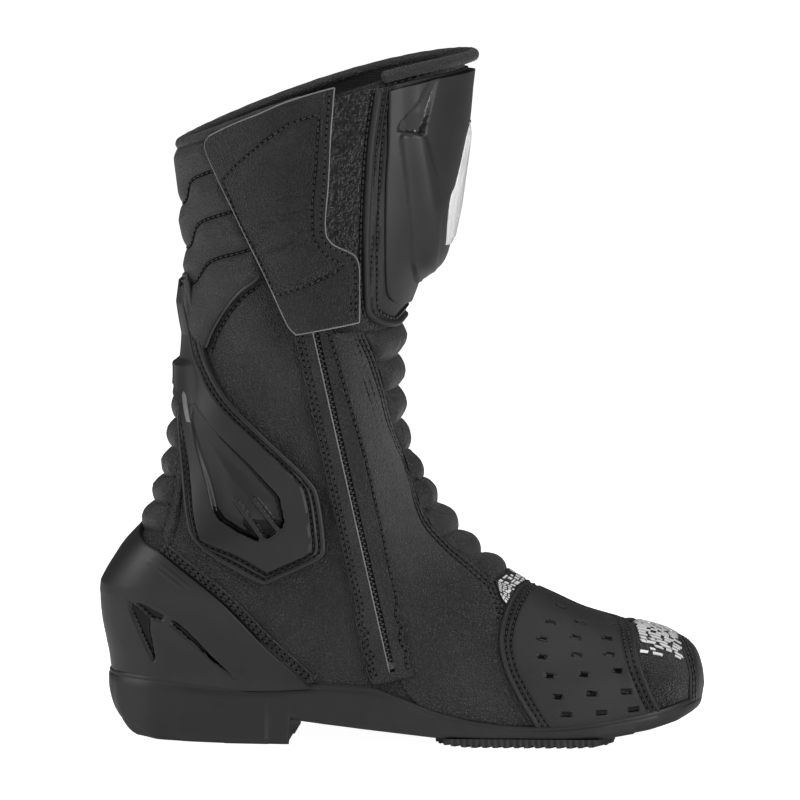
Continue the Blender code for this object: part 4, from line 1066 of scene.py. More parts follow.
def build_guard(side, flip, m):
    grid = flip(guard_grid())
    sides = ("left", "right", "bottom", "top")
    upper = form(grid[..., 0], grid[..., 1])[..., 2] > 175
    away = edge_distances(grid)
    back = "right" if side == "inner" else "left"
    front = "left" if side == "inner" else "right"
    far = np.where(upper, 99, away[back])
    near = np.min([away[front], far, away["bottom"], away["top"] + 1], axis=0)
    shape = -0.6 * dent(near - 3.2, 0.75) - 0.6 * dent(near - 6.2, 0.6) + 0.5 * dent(near - 4.7, 0.6)
    shape += 1.0 * step_up(near - 7.2, 0.9) + 0.35 * dent(near - 1.4, 1.0)
    flat = np.stack([grid[..., 0], np.abs(grid[..., 1])], -1)
    deep = depth_inside(flat, INSERT_OUTLINE)
    x, z = xz(flat)
    fall = step_up(178 - z, 55)
    fins = np.min([distance_to(flat, fin) for fin in INSERT_FINS], axis=0)
    recess = step_up(deep, 1.5) * (0.35 + 2.5 * fall)
    recess *= 1 - 0.95 * step_up(1.7 - fins, 0.6)
    recess *= 1 - 0.35 * step_up(deep - 5, 8)
    shape -= recess
    brace = np.interp(z, BRACE_Z, BRACE_OUT)
    shape += brace * step_up(9 - x, 9) * (z > 168)
    obj = panel(f"ankle_guard_{side}_shell", grid, 0.0, 3.0, m["hard_shell"], 1.0, shape, sides)
    right = distance_to(flat, INSERT_RIGHT) < np.interp(z, (112, 127, 155), (2.9, 3.2, 1.6))
    wall = (deep > -0.1) & (right | (distance_to(flat, INSERT_LOW) < 3.0))
    bays = (deep > 0) & (fins < 4.4) & (z < 113) & (x > 30)
    # The insert's recess walls and bays get a glossy near-black finish: painted shade.
    second_finish(obj, (wall | bays) & (fins > 1.2), m["recess"])
    goes(obj, "shaft", f"ankle_guard_{side}", f"ankle_insert_{side}", slot="hard_shell")
    for distance, lift in ((3.2, 2.75), (6.2, 2.8)):
        line = guard_line(grid, distance, front, back)
        sew(line, lift, "shaft", groove_shade=1.15)
    line = guard_line(grid, 1.2, front, back)
    goes(
        bead(f"ankle_guard_{side}_piping", line, 2.1, 1.45, m["hard_shell"], 1.3), "shaft",
        slot="hard_shell",
    )


def guard_line(grid, distance, front, back):
    """A line inside the guard's border: down the front, round the bottom and up the lower back."""
    line = border(grid, distance, (front, "bottom", back))
    line = line if front == "left" else line[::-1]
    z = form(line[:, 0], line[:, 1])[:, 2]
    start = int(np.argmax(z < 231 - distance))
    line = line[start:]
    z = form(line[:, 0], line[:, 1])[:, 2]
    lowest = int(np.argmin(z))
    stop = lowest + int(
        np.argmax(z[lowest:] > 172 - distance)
    ) if (z[lowest:] > 172 - distance).any() else len(line)
    return line[:stop]


def build_brace(m):
    """The metal strips let into the back of the ankle guards, and the cap over the centre seam."""
    v = math.pi + np.linspace(-0.11, 0.11, 15)
    u = np.linspace(back_u(229), back_u(174), 60)
    grid = np.stack(np.meshgrid(u, v, indexing="ij"), -1)
    z = form(grid[..., 0], grid[..., 1])[..., 2]
    wing = np.interp(z, BRACE_Z, BRACE_OUT)
    obj = panel("rear_brace_cap", grid, 2.0, 4.6, m["hard_shell"], 0.8, wing)
    goes(obj, "shaft", "rear_brace", "rear_brace_strip", slot="hard_shell")
    for side, sign in (("inner", 1), ("outer", -1)):
        strip = between(
            np.array([(0.2, 180), (2.6, 171), (4.6, 159.4)]),
            np.array([(2.2, 180), (4.6, 171), (6.2, 159.4)]), 0.6,
        )
        strip = strip if sign > 0 else outer_side(strip)
        goes(panel(f"brace_strip_{side}", strip, 3.0, 5.0, m["steel"], 0.5), "shaft", slot="steel")


def build_heel_cup(m):
    """The moulded heel cup with its sculpted, glossy recesses, whose floors are coloured near-black as
    painted shade.
    """
    grid = heel_grid(HEEL_CUP_EDGE, 106.5, 33.0)
    flat = np.stack(
        [grid[..., 0], np.where(grid[..., 1] > math.pi, 2 * math.pi - grid[..., 1], grid[..., 1])], -1,
    )
    x, z = xz(flat)
    floors = []
    relief = np.zeros(grid.shape[:2])
    for outline, depth in ((HEEL_TRIANGLE, 2.0), (HEEL_UPPER_DIP, 1.1), (HEEL_WEDGE, 1.7)):
        deep = depth_inside(flat, outline)
        relief -= depth * step_up(deep + 0.2, 1.3)
        floors.append(deep > 0.3)
    crest = distance_to(flat, [(-44, 72), (-26.5, 70.7), (-8, 64.5), (-5, 62), (32, 28.5)])
    below = step_up((72 - z - 0.35 * (x + 44)) / 1.0, 10) * step_up(x + 48, 12)
    relief += 0.5 * np.exp(-crest / 5.0) - 0.25 * below * (x < 30)
    for offset in (4.2, 7.0):
        line = np.array(shifted(HEEL_CUP_EDGE, -offset * 0.55, -offset * 0.75))
        ridge = distance_to(flat, smooth(line[3:]))
        relief += 0.35 * dent(ridge, 0.7) * step_up(10 - x, 12) * (z > 78)
    bump = np.interp(
        z, (30, 36, 50, 70, 76, 78, 88, 99, 106), (-1.6, -1.2, -1.0, 0.3, 1.9, 1.7, 0.7, 0.0, -0.6),
    )
    round_back = np.exp(-(((np.abs(grid[..., 1] - math.pi)) / 0.55) ** 2))
    relief += bump * round_back
    obj = panel(
        "heel_cup_shell", grid, -0.5, 3.0, m["hard_shell"], 1.0, relief, ("left", "right", "top"),
    )
    # The recess floors get a glossy near-black finish: painted shade.
    second_finish(obj, np.any(floors, axis=0), m["recess"])
    # A dark strip along the cup's upper edge: painted shade of the seam between the cup and the heel
    # strip.
    for sign in (1, -1):
        line = place(smooth(HEEL_CUP_EDGE)[24:]) * (1, sign)
        GROOVE_SHADE_STRIPS.setdefault("foot", []).append((*surface_line(line, 1.6, 1.5), 0.9))
    goes(obj, "foot", "heel_cup", "heel_inlay_inner", "heel_inlay_outer", slot="hard_shell")


def slot_shape(grid):
    """Signed distance into the nearest vent slot of the vamp guard: positive inside."""
    points = form(grid[..., 0], grid[..., 1])
    best = np.full(grid.shape[:2], -9.0)
    for row in SLOTS:
        for x, z in row:
            u, v = place([(x, z)])[0]
            for sign in (1, -1):
                centre, out = form(u, sign * v), normal(u, sign * v)
                along = form(u + 0.05, sign * v) - form(u - 0.05, sign * v)
                along[1] *= 0.4
                along = along - (along @ out) * out
                along = along / np.linalg.norm(along)
                across = np.cross(out, along)
                gap = points - centre
                d = np.maximum(np.abs(gap @ along) - 2.5, np.abs(gap @ across) - 1.15)
                near = np.abs(gap @ out) < 4
                best = np.where(near, np.maximum(best, -d), best)
    return best


def build_vamp_guard(m):
    """The guard over the vamp: piped, double stitched, and pierced by rows of glossy slots coloured
    near-black as painted shade.
    """
    grid = foot_band(foot_edge(VAMP_REAR, 167.5), foot_edge(VAMP_FRONT, 217.5), 0.62)
    away = edge_distances(grid)
    rear, front = away["top"], away["bottom"]
    shape = np.zeros(grid.shape[:2])
    for far in (rear, front):
        shape += -0.5 * dent(far - 3.2, 0.6) + 0.5 * dent(far - 4.5, 0.5) - 0.5 * dent(far - 5.9, 0.5)
        shape += 0.3 * dent(far - 1.2, 0.9)
    shape += 0.55 * step_up(np.minimum(rear, front) - 6.8, 0.9)
    slot = slot_shape(grid)
    shape -= 1.1 * step_up(slot + 0.25, 0.45)
    shape += 0.12 * ripple(grid, 22) + 0.5 * toe_swell(grid[..., 0], grid[..., 1])
    obj = panel("vamp_guard_shell", grid, -0.4, 2.1, m["leather_smooth"], 0.9, shape, ("top", "bottom"))
    # The slots get a glossy near-black finish: painted shade of the holes.
    second_finish(obj, slot > -0.2, m["recess"])
    goes(obj, "foot", "vamp_guard", slot="leather")
    for side in ("top", "bottom"):
        for distance in (3.2, 5.9):
            line = inset_line(grid, side, distance)[3:-3]
            sew_on(line, 1.95 + 0.5 * toe_swell(line[:, 0], line[:, 1]), "foot", groove_shade=0.95)
        line = inset_line(grid, side, 1.1)
        points, out = swollen_line(line, 1.6, 0.5)
        goes(tube(f"vamp_piping_{side}", points, out, 1.2, m["leather_smooth"]), "foot", slot="leather")


def swollen_line(line, lift, share):
    """Points and normals along a (u, v) line that rides over the swell of the toe."""
    lift = lift + share * toe_swell(line[:, 0], line[:, 1])
    points, out = lifted(line[:, 0], line[:, 1], lift), normal(line[:, 0], line[:, 1])
    both_ways = resample(np.concatenate([points, out], 1), max(int(edge_length(points) / 1.3), 2))
    return both_ways[:, :3], both_ways[:, 3:]


def bulge(grid):
    """How far the shin plate swells out beyond its plain lift."""
    flat = np.stack([grid[..., 0], np.abs(grid[..., 1])], -1)
    x, z = xz(flat)
    ahead = step_up(x - np.interp(z, BULGE_START_Z, BULGE_START_X), BULGE_RUN)
    return np.interp(z, BULGE_Z, BULGE) * ahead


def build_shin(m):
    """The shin: a piped leather base, the moulded plate with its scoops, and the white insert."""
    grid = wrap(under_collar(to_line(smooth(SHIN_BASE_EDGE), 0.25, front_u(z=209.5), width=64), 0.1))
    away = edge_distances(grid)
    near = np.min([away["left"], away["right"], away["bottom"]], axis=0)
    shape = -0.7 * dent(near - 4.9, 0.6) + 0.4 * dent(near - 6.6, 0.9) - 0.8 * dent(near - 8.8, 0.8)
    obj = panel(
        "shin_base_leather", grid, -0.8, 1.5, m["leather_smooth"], 1.0, shape,
        ("left", "right", "bottom"),
    )
    goes(obj, "shaft", "shin_base", slot="leather")
    line = border(grid, 1.9, ("left", "bottom", "right"))
    goes(bead("shin_piping", line, 1.2, 2.0, m["leather_smooth"], 1.4), "shaft", slot="leather")
    for distance in (4.9, 7.4):
        sew(border(grid, distance, ("left", "bottom", "right")), 1.1 if distance < 5 else 1.9, "shaft")
    grid = wrap(
        under_collar(to_line(smooth(SHIN_PLATE_EDGE), 0.3, front_u(z=218), step=0.9, width=56), 0.12)
    )
    flat = np.stack([grid[..., 0], np.abs(grid[..., 1])], -1)
    away = edge_distances(grid)
    deep = depth_inside(flat, SCOOP)
    x, z = xz(flat)
    low = step_up(deep + 0.3, 0.9) * np.interp(z, (303, 306, 315, 333), (3.4, 3.2, 1.6, 0.2))
    rib = depth_inside(flat, CHANNEL)
    strip = np.interp(x - np.interp(z, CHANNEL_BACK[1], CHANNEL_BACK[0]), (0, 9, 14), (1.4, 0.5, 0.0))
    shape = bulge(grid) - low + strip * step_up(rib + 0.5, 0.8)
    lip = step_up(231.5 - z + 0.25 * (x - 112), 1.5) * step_up(z - 224, 2) * step_up(x - 111, 2)
    obj = panel(
        "shin_plate_shell", grid, 0.2, 3.0, m["hard_shell"], 1.3, shape - 0.6 * lip,
        ("left", "right", "bottom"),
    )
    second_finish(obj, deep > 0.3, m["gloss_trim"])
    goes(obj, "shaft", "shin_plate", slot="hard_shell")
    insert = wrap(
        to_line(smooth(SHIN_INSERT_EDGE), front_u(z=309.5), front_u(z=249.5), step=0.8, width=14)
    )
    away = edge_distances(insert)
    near = np.min([away[s] for s in ("left", "right", "top", "bottom")], axis=0)
    crown = 1.1 * step_up(near, 5.0) - 0.5 * dent(near - 3.2, 0.5)
    high = 3.6 + bulge(insert) + crown
    goes(
        panel("shin_insert_white", insert, 2.6 + bulge(insert), high, m["white_trim"], 0.9), "shaft",
        "shin_insert", slot="white_trim",
    )


# --- Closure -------------------------------------------------------------------------------------


def flap_lift(grid):
    points = form(grid[..., 0], grid[..., 1])
    away = (points[..., 0] - zip_x(points[..., 2])) * 0.976
    return 2.8 + 5.8 * np.exp(-((away / 15.0) ** 2))


def build_flap(m):
    """The padded leather flap over the zip, and the lining of its inner face."""
    grid = between(smooth(FLAP_BACK, 10), smooth(FLAP_FRONT, 10), 1.0)
    top = np.linspace(1, 0, len(grid))[:, None] ** 6 * np.sin(
        np.linspace(0, math.pi, grid.shape[1])
    )[None]
    grid[..., 0] = np.maximum(grid[..., 0] - 0.075 * top, 0.005)
    away = edge_distances(grid)
    under = flap_lift(grid)
    seam = depth_inside(grid, FLAP_PAD)
    shape = 1.3 * step_up(seam, 9.0) - 0.45 * dent(seam, 0.7) - 0.35 * dent(away["right"] - 2.4, 0.6)
    swollen = puff(
        grid, under + 2.4 + shape, (seam < 0.6), under + 5.2, pressure=2.0, slack=0.03,
    ) - under - 2.4
    shape = np.where(seam > 0.6, swollen, shape) + 0.12 * ripple(grid, 11)
    obj = panel("flap_leather", grid, under + 0.3, under + 2.4, m["leather_flap"], 0.8, shape)
    goes(obj, "flap", "closure_flap", slot="leather")
    goes(sheet("flap_lining", grid, under + 0.35, m["textile"], flip=True), "flap", slot="textile")
    line = close_line(border(grid, 0.35))
    points = lifted(line[:, 0], line[:, 1], flap_lift_at(line) + 2.0)
    out = normal(line[:, 0], line[:, 1])
    goes(tube("flap_cut_edge", points, out, 0.42, m["cut_edge"]), "flap", slot="leather")
    seam_line = place(smooth_closed(FLAP_PAD))
    sew_on(seam_line, flap_lift_at(seam_line) + 2.35, "flap")
    for distance in (2.4, 5.0):
        line = inset_line(grid, "right", distance)[3:-3]
        sew_on(line, flap_lift_at(line) + 2.3, "flap")


def smooth_closed(outline):
    """A closed outline with evenly spaced points."""
    line = np.asarray(outline, float)
    return resample(np.concatenate([line, line[:1]]), 160)


def flap_lift_at(line):
    return flap_lift(line[:, None])[:, 0]


def sew_on(line, lift, body, finish="thread", groove_shade=GROOVE_SHADE_RADIUS):
    """Stitches along a (u, v) line whose lift varies, with a dark strip of painted groove shade under
    them.
    """
    points = lifted(line[:, 0], line[:, 1], lift)
    steps = np.r_[0, np.cumsum(np.linalg.norm(np.diff(points, axis=0), axis=1))]
    at = np.linspace(0, steps[-1], max(int(steps[-1] / STITCH_PITCH), 2))
    world = along_line(points, steps, at)
    out = along_line(normal(line[:, 0], line[:, 1]), steps, at)
    SEAMS.setdefault((body, finish), []).append(
        ((world[1:] + world[:-1]) / 2, world[1:] - world[:-1], out[1:])
    )
    GROOVE_SHADE_STRIPS.setdefault(body, []).append((world - out * 0.22, out, groove_shade))


def build_hook_field(m):
    """The textile that joins the flap to the shin, and the hook and loop patches under the flap."""
    edge = shifted(SHIN_BASE_EDGE[:-2], 1.0)
    first = path(
        [
            (73.5, 324), (72.5, 300), (72, 281), (70.5, 260), (74, 250), (84, 242), (84.5, 228),
            (83.5, 213),
        ]
    )
    grid = under_collar(between(first, smooth(edge), 0.8), 0.08)
    rough = np.random.default_rng(3).normal(size=grid.shape[:2])
    lift = 0.5 + 0.28 * rough + 1.6 * step_up(6 - edge_distances(grid)["left"], 6)
    obj = sheet("gusset_textile", grid, lift, m["hook"], smooth_angle=30)
    goes(obj, "gusset", "stretch_gusset", slot="textile")
    line = inset_line(grid, "right", 2.2)
    sew(line, 1.2, "shaft")
    patch = between(np.array([(23, 284), (33, 252)]), np.array([(32, 286), (41.5, 253)]), 0.8)
    rough = np.random.default_rng(4).normal(size=patch.shape[:2])
    goes(
        panel("hook_pad", patch, -0.2, 1.1, m["hook"], 0.5, 0.15 * rough), "shaft", "hook_patch",
        slot="textile",
    )
    under = flap_lift(patch)
    obj = sheet("loop_pad", patch, under - 0.5 + 0.15 * rough, m["hook"], flip=True, smooth_angle=30)
    goes(obj, "flap", "loop_patch", slot="textile")


def build_zip(m):
    """The zip: tapes, two rows of teeth, leather facings stitched down beside them, and the stops."""
    z_top, z_low = ZIP_TOP[2] - 2, ZIP_BOTTOM[2] + 2
    tape = between(zip_side(z_top, z_low, -5.5), zip_side(z_top, z_low, 5.5), 1.0)
    tape = under_collar(tape)
    goes(
        sheet("zip_tape", tape, -0.1, m["textile"]), "soft", "zip_tape_rear", "zip_tape_front",
        slot="textile",
    )
    for name, sign, near, far in (("rear", -1, 1.35, 10.6), ("front", 1, 1.5, 10.0)):
        inner = smooth(zip_side(z_top - 1, z_low + 1.0, sign * near))
        widths = np.linspace(0, 1, 24)
        wide = np.interp(
            widths, (0, 0.35, 0.62, 1), (7.6, 7.6, 10.6, 10.2),
        ) if sign > 0 else np.full(24, far)
        zs = np.linspace(z_top - 1, z_low - 2.5, 24)
        outer = np.array([zip_side(z, z, sign * w, 1)[0] for z, w in zip(zs, wide)])
        grid = under_collar(between(inner, outer, 0.9))
        away = edge_distances(grid)
        relief = -0.4 * dent(
            away["right"] - 1.7, 0.6,
        ) - 0.25 * dent(away["right"] - 4.0, 0.5) * (sign < 0)
        obj = panel(
            f"zip_facing_{name}_leather", grid, -0.4, 1.75, m["leather"], 0.7,
            relief + 0.05 * ripple(grid, 8),
        )
        goes(obj, "soft", f"zip_facing_{name}", slot="leather")
        sew_grid(grid, "right", (1.7, 4.0) if sign < 0 else (1.7,), 1.75)
        if sign < 0:
            line = place(inner)
            goes(bead("zip_edge_piping", line, 1.5, 0.38, m["pale_edge"], 1.5), "soft", slot="leather")
    ends = [
        zip_side(z_low + 1.5, z_low + 1.5, a, 1) + zip_side(z_low - 2.5, z_low - 2.5, b, 1)
        for a, b in ((-10.6, -10.4), (10.2, 10.0))
    ]
    end = between(*ends, 0.8)
    goes(panel("zip_garage", end, -0.4, 1.9, m["leather"], 0.8), "soft", slot="leather")
    build_teeth(m, z_top - 5, z_low + 4)


TOOTH_PITCH, TOOTH_OFFSET = 1.25, 0.45


def build_teeth(m, z_top, z_low):
    """Two rows of moulded teeth that interlock along the zip line."""
    along = (ZIP_BOTTOM - ZIP_TOP) / np.linalg.norm(ZIP_BOTTOM - ZIP_TOP)
    across = np.cross((0.0, -1.0, 0.0), along)
    across = across / np.linalg.norm(across)
    out = np.cross(along, across)
    count = int((z_top - z_low) / TOOTH_PITCH)
    share = (ZIP_TOP[2] - np.linspace(z_top, z_low, count)) / (ZIP_TOP[2] - ZIP_BOTTOM[2])
    centres = ZIP_TOP + share[:, None] * (ZIP_BOTTOM - ZIP_TOP)
    side = np.where(np.arange(count) % 2, 1.0, -1.0)
    corners = np.array([(a, b, c) for a in (-1, 1) for b in (-1, 1) for c in (-1, 1)], float)
    size = np.array((0.5, 0.85, 0.75))
    local = corners * size
    local[:, :2] *= np.where(corners[:, 2:] > 0, 0.78, 1.0)
    points = centres[:, None] + along * local[None, :, :1]
    points = points + across * (local[None, :, 1:2] + side[:, None, None] * TOOTH_OFFSET)
    points = points + out * (local[None, :, 2:] + 0.5)
    box = np.array([(0, 1, 3, 2), (4, 6, 7, 5), (0, 4, 5, 1), (2, 3, 7, 6), (0, 2, 6, 4), (1, 5, 7, 3)])
    faces = (box[None] + (np.arange(count) * 8)[:, None, None]).reshape(-1, 4)
    obj = new_object("zip_teeth", points.reshape(-1, 3), [faces], m["zip_plastic"], smooth_angle=20)
    goes(obj, "soft", "zip_chain", slot="zip_plastic")


def build_collar(m):
    """The rolled binding round the top, and the textile lining inside."""
    ends = place([COLLAR_OPENING[0], COLLAR_OPENING[1]])[:, 1]
    v = np.linspace(ends[0] - 2 * math.pi, ends[1], 420)
    u = collar_limit(v)
    ahead = np.exp(-((v / 1.25) ** 2))
    points, out = lifted(u, v, -0.6 + 4.0 * ahead), normal(u, v)
    points[:, 2] += 1.6 * ahead
    radius = 3.0 + 0.1 * np.sin(v * 37) * np.sin(v * 11 + 1)
    obj = tube("collar_roll", points, out, radius, m["leather_soft"], sides=14)
    goes(obj, "shaft", "collar_binding", slot="leather")
    line = np.stack([u + 0.085, v], -1)
    sew(line[abs(v) > 0.95], 0.3, "shaft")
    v = np.linspace(0, 2 * math.pi, 140, endpoint=False)
    u = np.linspace(0, 1, 170)[:, None] ** 1.2 * 15.5
    grid = np.stack(np.broadcast_arrays(collar_limit(v[None]) + 0.02 + u, v[None]), -1)
    grid = np.concatenate([grid, grid[:, :1] + (0, 2 * math.pi)], 1)
    depth = -1.6 - 4.4 * step_up(u, 1.6) + 0.35 * ripple(grid, 12)
    obj = sheet("sock_lining", grid, depth, m["textile"], flip=True)
    goes(obj, "soft", "lining", slot="textile")


# --- Toe and sole --------------------------------------------------------------------------------


def fragments(name, patch, rows, columns, seed, keep, lift, finish, body, skew=0.25):
    """Broken rows of small raised shapes. patch gives (u, v) at shares along and down its area."""
    rng = np.random.default_rng(seed)
    points, start = [], 0
    for i in range(rows):
        s = 0.0
        while s < 1:
            length = rng.uniform(0.5, 1.5) / columns
            if rng.uniform() < keep(s, (i + 0.5) / rows) and s + length < 1.02:
                lean = rng.uniform(-0.5, 1) * skew / columns
                t0, t1 = (i + 0.12 * rng.uniform()) / rows, (i + rng.uniform(0.5, 0.74)) / rows
                quad = [
                    (s, t0), (s + length * 0.85, t0), (s + length * 0.85 + lean, t1), (s + lean, t1),
                ]
                outline = np.array([patch(a, b) for a, b in quad])
                edge = np.concatenate([resample(outline[[k, (k + 1) % 4]], 4)[:-1] for k in range(4)])
                points.append(edge)
            s += length + rng.uniform(0.08, 0.35) / columns
    if not points:
        return
    flat = np.concatenate(points)
    lift = lift + toe_swell(flat[:, 0], flat[:, 1])
    top = lifted(flat[:, 0], flat[:, 1], lift)
    low = lifted(flat[:, 0], flat[:, 1], lift - 0.5)
    per = len(points[0])
    verts, polys, quads = [], [], []
    for k in range(len(points)):
        ring = np.arange(per)
        verts.append(top[k * per : (k + 1) * per])
        verts.append(low[k * per : (k + 1) * per])
        polys.append(start + ring)
        quads.append(
            np.stack(
                [
                    start + ring, start + per + ring, start + per + (ring + 1) % per,
                    start + (ring + 1) % per,
                ],
                1,
            )
        )
        start += 2 * per
    obj = new_object(name, np.concatenate(verts), [np.array(polys), np.concatenate(quads)], finish, 30)
    goes(obj, body, slot="white_trim")
    return obj


def build_toe(m):
    """The toe cap's bumper strip, its seam, the pale graphic and the slider on the outer side."""
    chance = lambda a, b: 0.97 if abs(b - 0.5) < 0.38 else 0.5
    obj = fragments("toe_graphic", toe_patch, 24, 5, 5, chance, 0.9, m["white_trim"], "foot", 0.3)
    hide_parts("toe_patch")
    toe_bumper(m)
    build_instep(m)
    grid = outer_side(
        between(
            smooth([(236, 20), (236.5, 30), (236, 38), (235.5, 44)]),
            smooth([(252.5, 21), (252.5, 28), (251, 35), (246.5, 43)]), 0.7,
        )
    )
    away = edge_distances(grid)
    near = np.min([away[s] for s in away], axis=0)
    shape = 1.2 * step_up(near, 4.0) - 0.8 * dent(near - 5.2, 0.6)
    goes(
        panel("toe_slider_shell", grid, 0.0, 2.6, m["hard_shell"], 1.0, shape), "foot", "toe_slider",
        slot="hard_shell",
    )


def toe_patch(a, b):
    """The place on the toe cap at shares a, from the vamp guard to the bumper, and b, across."""
    v = 1.9 * b - 0.95
    rear = 15.65 + 0.85 * abs(v)
    return np.array((rear + (17.95 - rear) * a, v))


def build_instep(m):
    """The tab between the last front rib and the vamp guard, with its pale graphic."""
    rear = np.concatenate([[(front_u(x=157.5), 0.0)], place([(153, 78.5), (156.5, 71)])])
    ahead = np.concatenate([[(front_u(x=167.3), 0.0)], place([(163.9, 75), (159.7, 67)])])
    rear, ahead = resample(rear, 30), resample(ahead, 30)
    grid = rule(rear, ahead, np.linspace(0, 1, 44), spread(20, 1.5, 14))
    grid = wrap(grid.transpose(1, 0, 2)[:, ::-1])
    goes(panel("instep_tab", grid, -0.6, 2.5, m["leather_smooth"], 0.9), "foot", slot="leather")
    for side, sign in (("inner", 1), ("outer", -1)):
        patch = lambda a, b: (
            rear[int(b * 29)] * (0.9 - 0.85 * a) + ahead[int(b * 29)] * (0.1 + 0.85 * a)
        ) * (1, sign)
        fragments(
            f"instep_{side}", patch, 13, 4, 9, lambda a, b: 0.92, 2.8, m["white_trim"], "foot", 0.1,
        )


def toe_bumper(m):
    """The stiff leather bumper that wraps the tip of the toe."""
    rear = foot_edge([(245.5, 44), (248.6, 36), (250, 28), (250.5, 18)], 240.5)
    v = np.linspace(0, rear[-1, 1], 40)
    grid = foot_band(rear, np.stack([np.full(40, 19.93), v], -1), 0.7)
    away = edge_distances(grid)
    shape = 1.2 * step_up(away["top"], 9.0) + 0.8 * toe_swell(grid[..., 0], grid[..., 1])
    goes(
        panel("toe_bumper", grid, -0.4, 1.4, m["leather_smooth"], 0.9, shape, ("top",)), "foot",
        slot="leather",
    )
    for distance in (1.9, 4.2):
        line = inset_line(grid, "top", distance)[6:-6]
        swell = 1.2 * step_up(distance, 9.0) + 0.8 * toe_swell(line[:, 0], line[:, 1])
        sew_on(line, 1.5 + swell, "foot")


def outline_loop(count=620):
    """The sole's outline seen from above, evenly spaced, as (x, y) going round from the heel."""
    x = np.asarray(PLAN_X, float)
    fine = np.unique(np.r_[x, np.linspace(x[0], x[-1], 400)])
    inner = np.stack([fine, -smooth_table(fine, x, PLAN_INNER)], -1)
    outer = np.stack([fine, smooth_table(fine, x, PLAN_OUTER)], -1)
    loop = np.concatenate([inner, outer[::-1]])
    loop = np.concatenate([loop, loop[:1]])
    return resample(loop, count + 1)[:-1]


def smooth_table(at, x, y):
    """Piecewise cubic through a table, without overshoot."""
    x, y = np.asarray(x, float), np.asarray(y, float)
    slope = np.diff(y) / np.diff(x)
    m0 = np.r_[
        slope[0],
        np.where(
            slope[1:] * slope[:-1] > 0,
            2 / (
                1 / np.where(slope[1:] == 0, 1, slope[1:])
                + 1 / np.where(slope[:-1] == 0, 1, slope[:-1])
            ),
            0,
        ),
        slope[-1],
    ]
    i = np.clip(np.searchsorted(x, at) - 1, 0, len(x) - 2)
    h = x[i + 1] - x[i]
    t = (at - x[i]) / h
    return (
        (1 + 2 * t) * (1 - t) ** 2 * y[i] + t * (1 - t) ** 2 * h * m0[i]
        + t * t * (3 - 2 * t) * y[i + 1] + t * t * (t - 1) * h * m0[i + 1]
    )


def build_sole(m):
    """The cup sole: one closed wall round the boot, with its lip and underside."""
    loop = outline_loop()
    after, before = np.roll(loop, -1, 0), np.roll(loop, 1, 0)
    along = after - before
    along = along / np.linalg.norm(along, axis=1, keepdims=True)
    out = np.stack([along[:, 1], -along[:, 0]], -1)
    out = out if np.mean((out * (loop - loop.mean(0))).sum(1)) > 0 else -out
    for _ in range(6):
        out = (np.roll(out, 1, 0) + out + np.roll(out, -1, 0)) / 3
    x = loop[:, 0]
    top = smooth_table(x, SOLE_X, SOLE_TOP)
    under = np.interp(x, UNDER_X, UNDER_Z)
    back = np.clip(-out[:, 0], 0, 1) ** 1.5 * (x < 20)
    radius = 3.0 + 24.0 * back + 3.0 * (x > 225)
    rows = []
    for inset, height in (
        (4.6, -5.0), (4.4, -0.4), (3.2, 0.0), (1.3, 0.0), (0.75, -0.25), (0.5, -0.8), (0.35, -1.6),
        (0.5, -2.2), (0.0, -3.0),
    ):
        rows.append((inset + 0 * x, top + height))
    for share in np.linspace(0.12, 1.0, 22):
        z = top - 3.0 - share * (top - 3.0 - under)
        height = z - under
        inside_circle = radius - np.sqrt(
            np.clip(radius**2 - np.clip(radius - height, 0, None) ** 2, 0, None)
        )
        lean = 0.9 * share * (x > 42)
        rows.append((inside_circle + lean, z))
    verts = []
    for inset, z in rows:
        pull = inset + 1.8 * back
        point = loop - out * pull[:, None]
        verts.append(np.stack([point[:, 0], point[:, 1], z], -1))
    edge = verts[-1]
    centre_y = np.interp(edge[:, 0], PLAN_X, (np.array(PLAN_OUTER) - np.array(PLAN_INNER)) / 2)
    for share in (0.06, 0.3, 0.6, 0.85, 1.0):
        y = centre_y + (edge[:, 1] - centre_y) * (1 - share)
        z = np.maximum(edge[:, 2], np.interp(edge[:, 0], UNDER_X, UNDER_Z))
        verts.append(np.stack([edge[:, 0], y, z], -1))
    count = len(loop)
    stack = np.array(verts)
    i, j = np.meshgrid(np.arange(len(stack) - 1), np.arange(count), indexing="ij")
    k = (j + 1) % count
    quads = np.stack(
        [i * count + j, i * count + k, (i + 1) * count + k, (i + 1) * count + j], -1,
    ).reshape(-1, 4)
    test = np.cross(stack[12, 1] - stack[12, 0], stack[13, 0] - stack[12, 0]) @ np.r_[out[0], 0]
    quads = quads if test > 0 else quads[:, ::-1]
    obj = new_object("sole_rubber", stack.reshape(-1, 3), [quads], m["rubber"], 40)
    goes(obj, "foot", "outsole", slot="rubber")
    build_tread(m, "forefoot_tread_rubber", 125.0, 213.5, 1.6, 4.4, "forefoot_tread")
    build_tread(m, "heel_tread_rubber", -17.0, 46.0, 8.5, 2.0, "heel_tread")


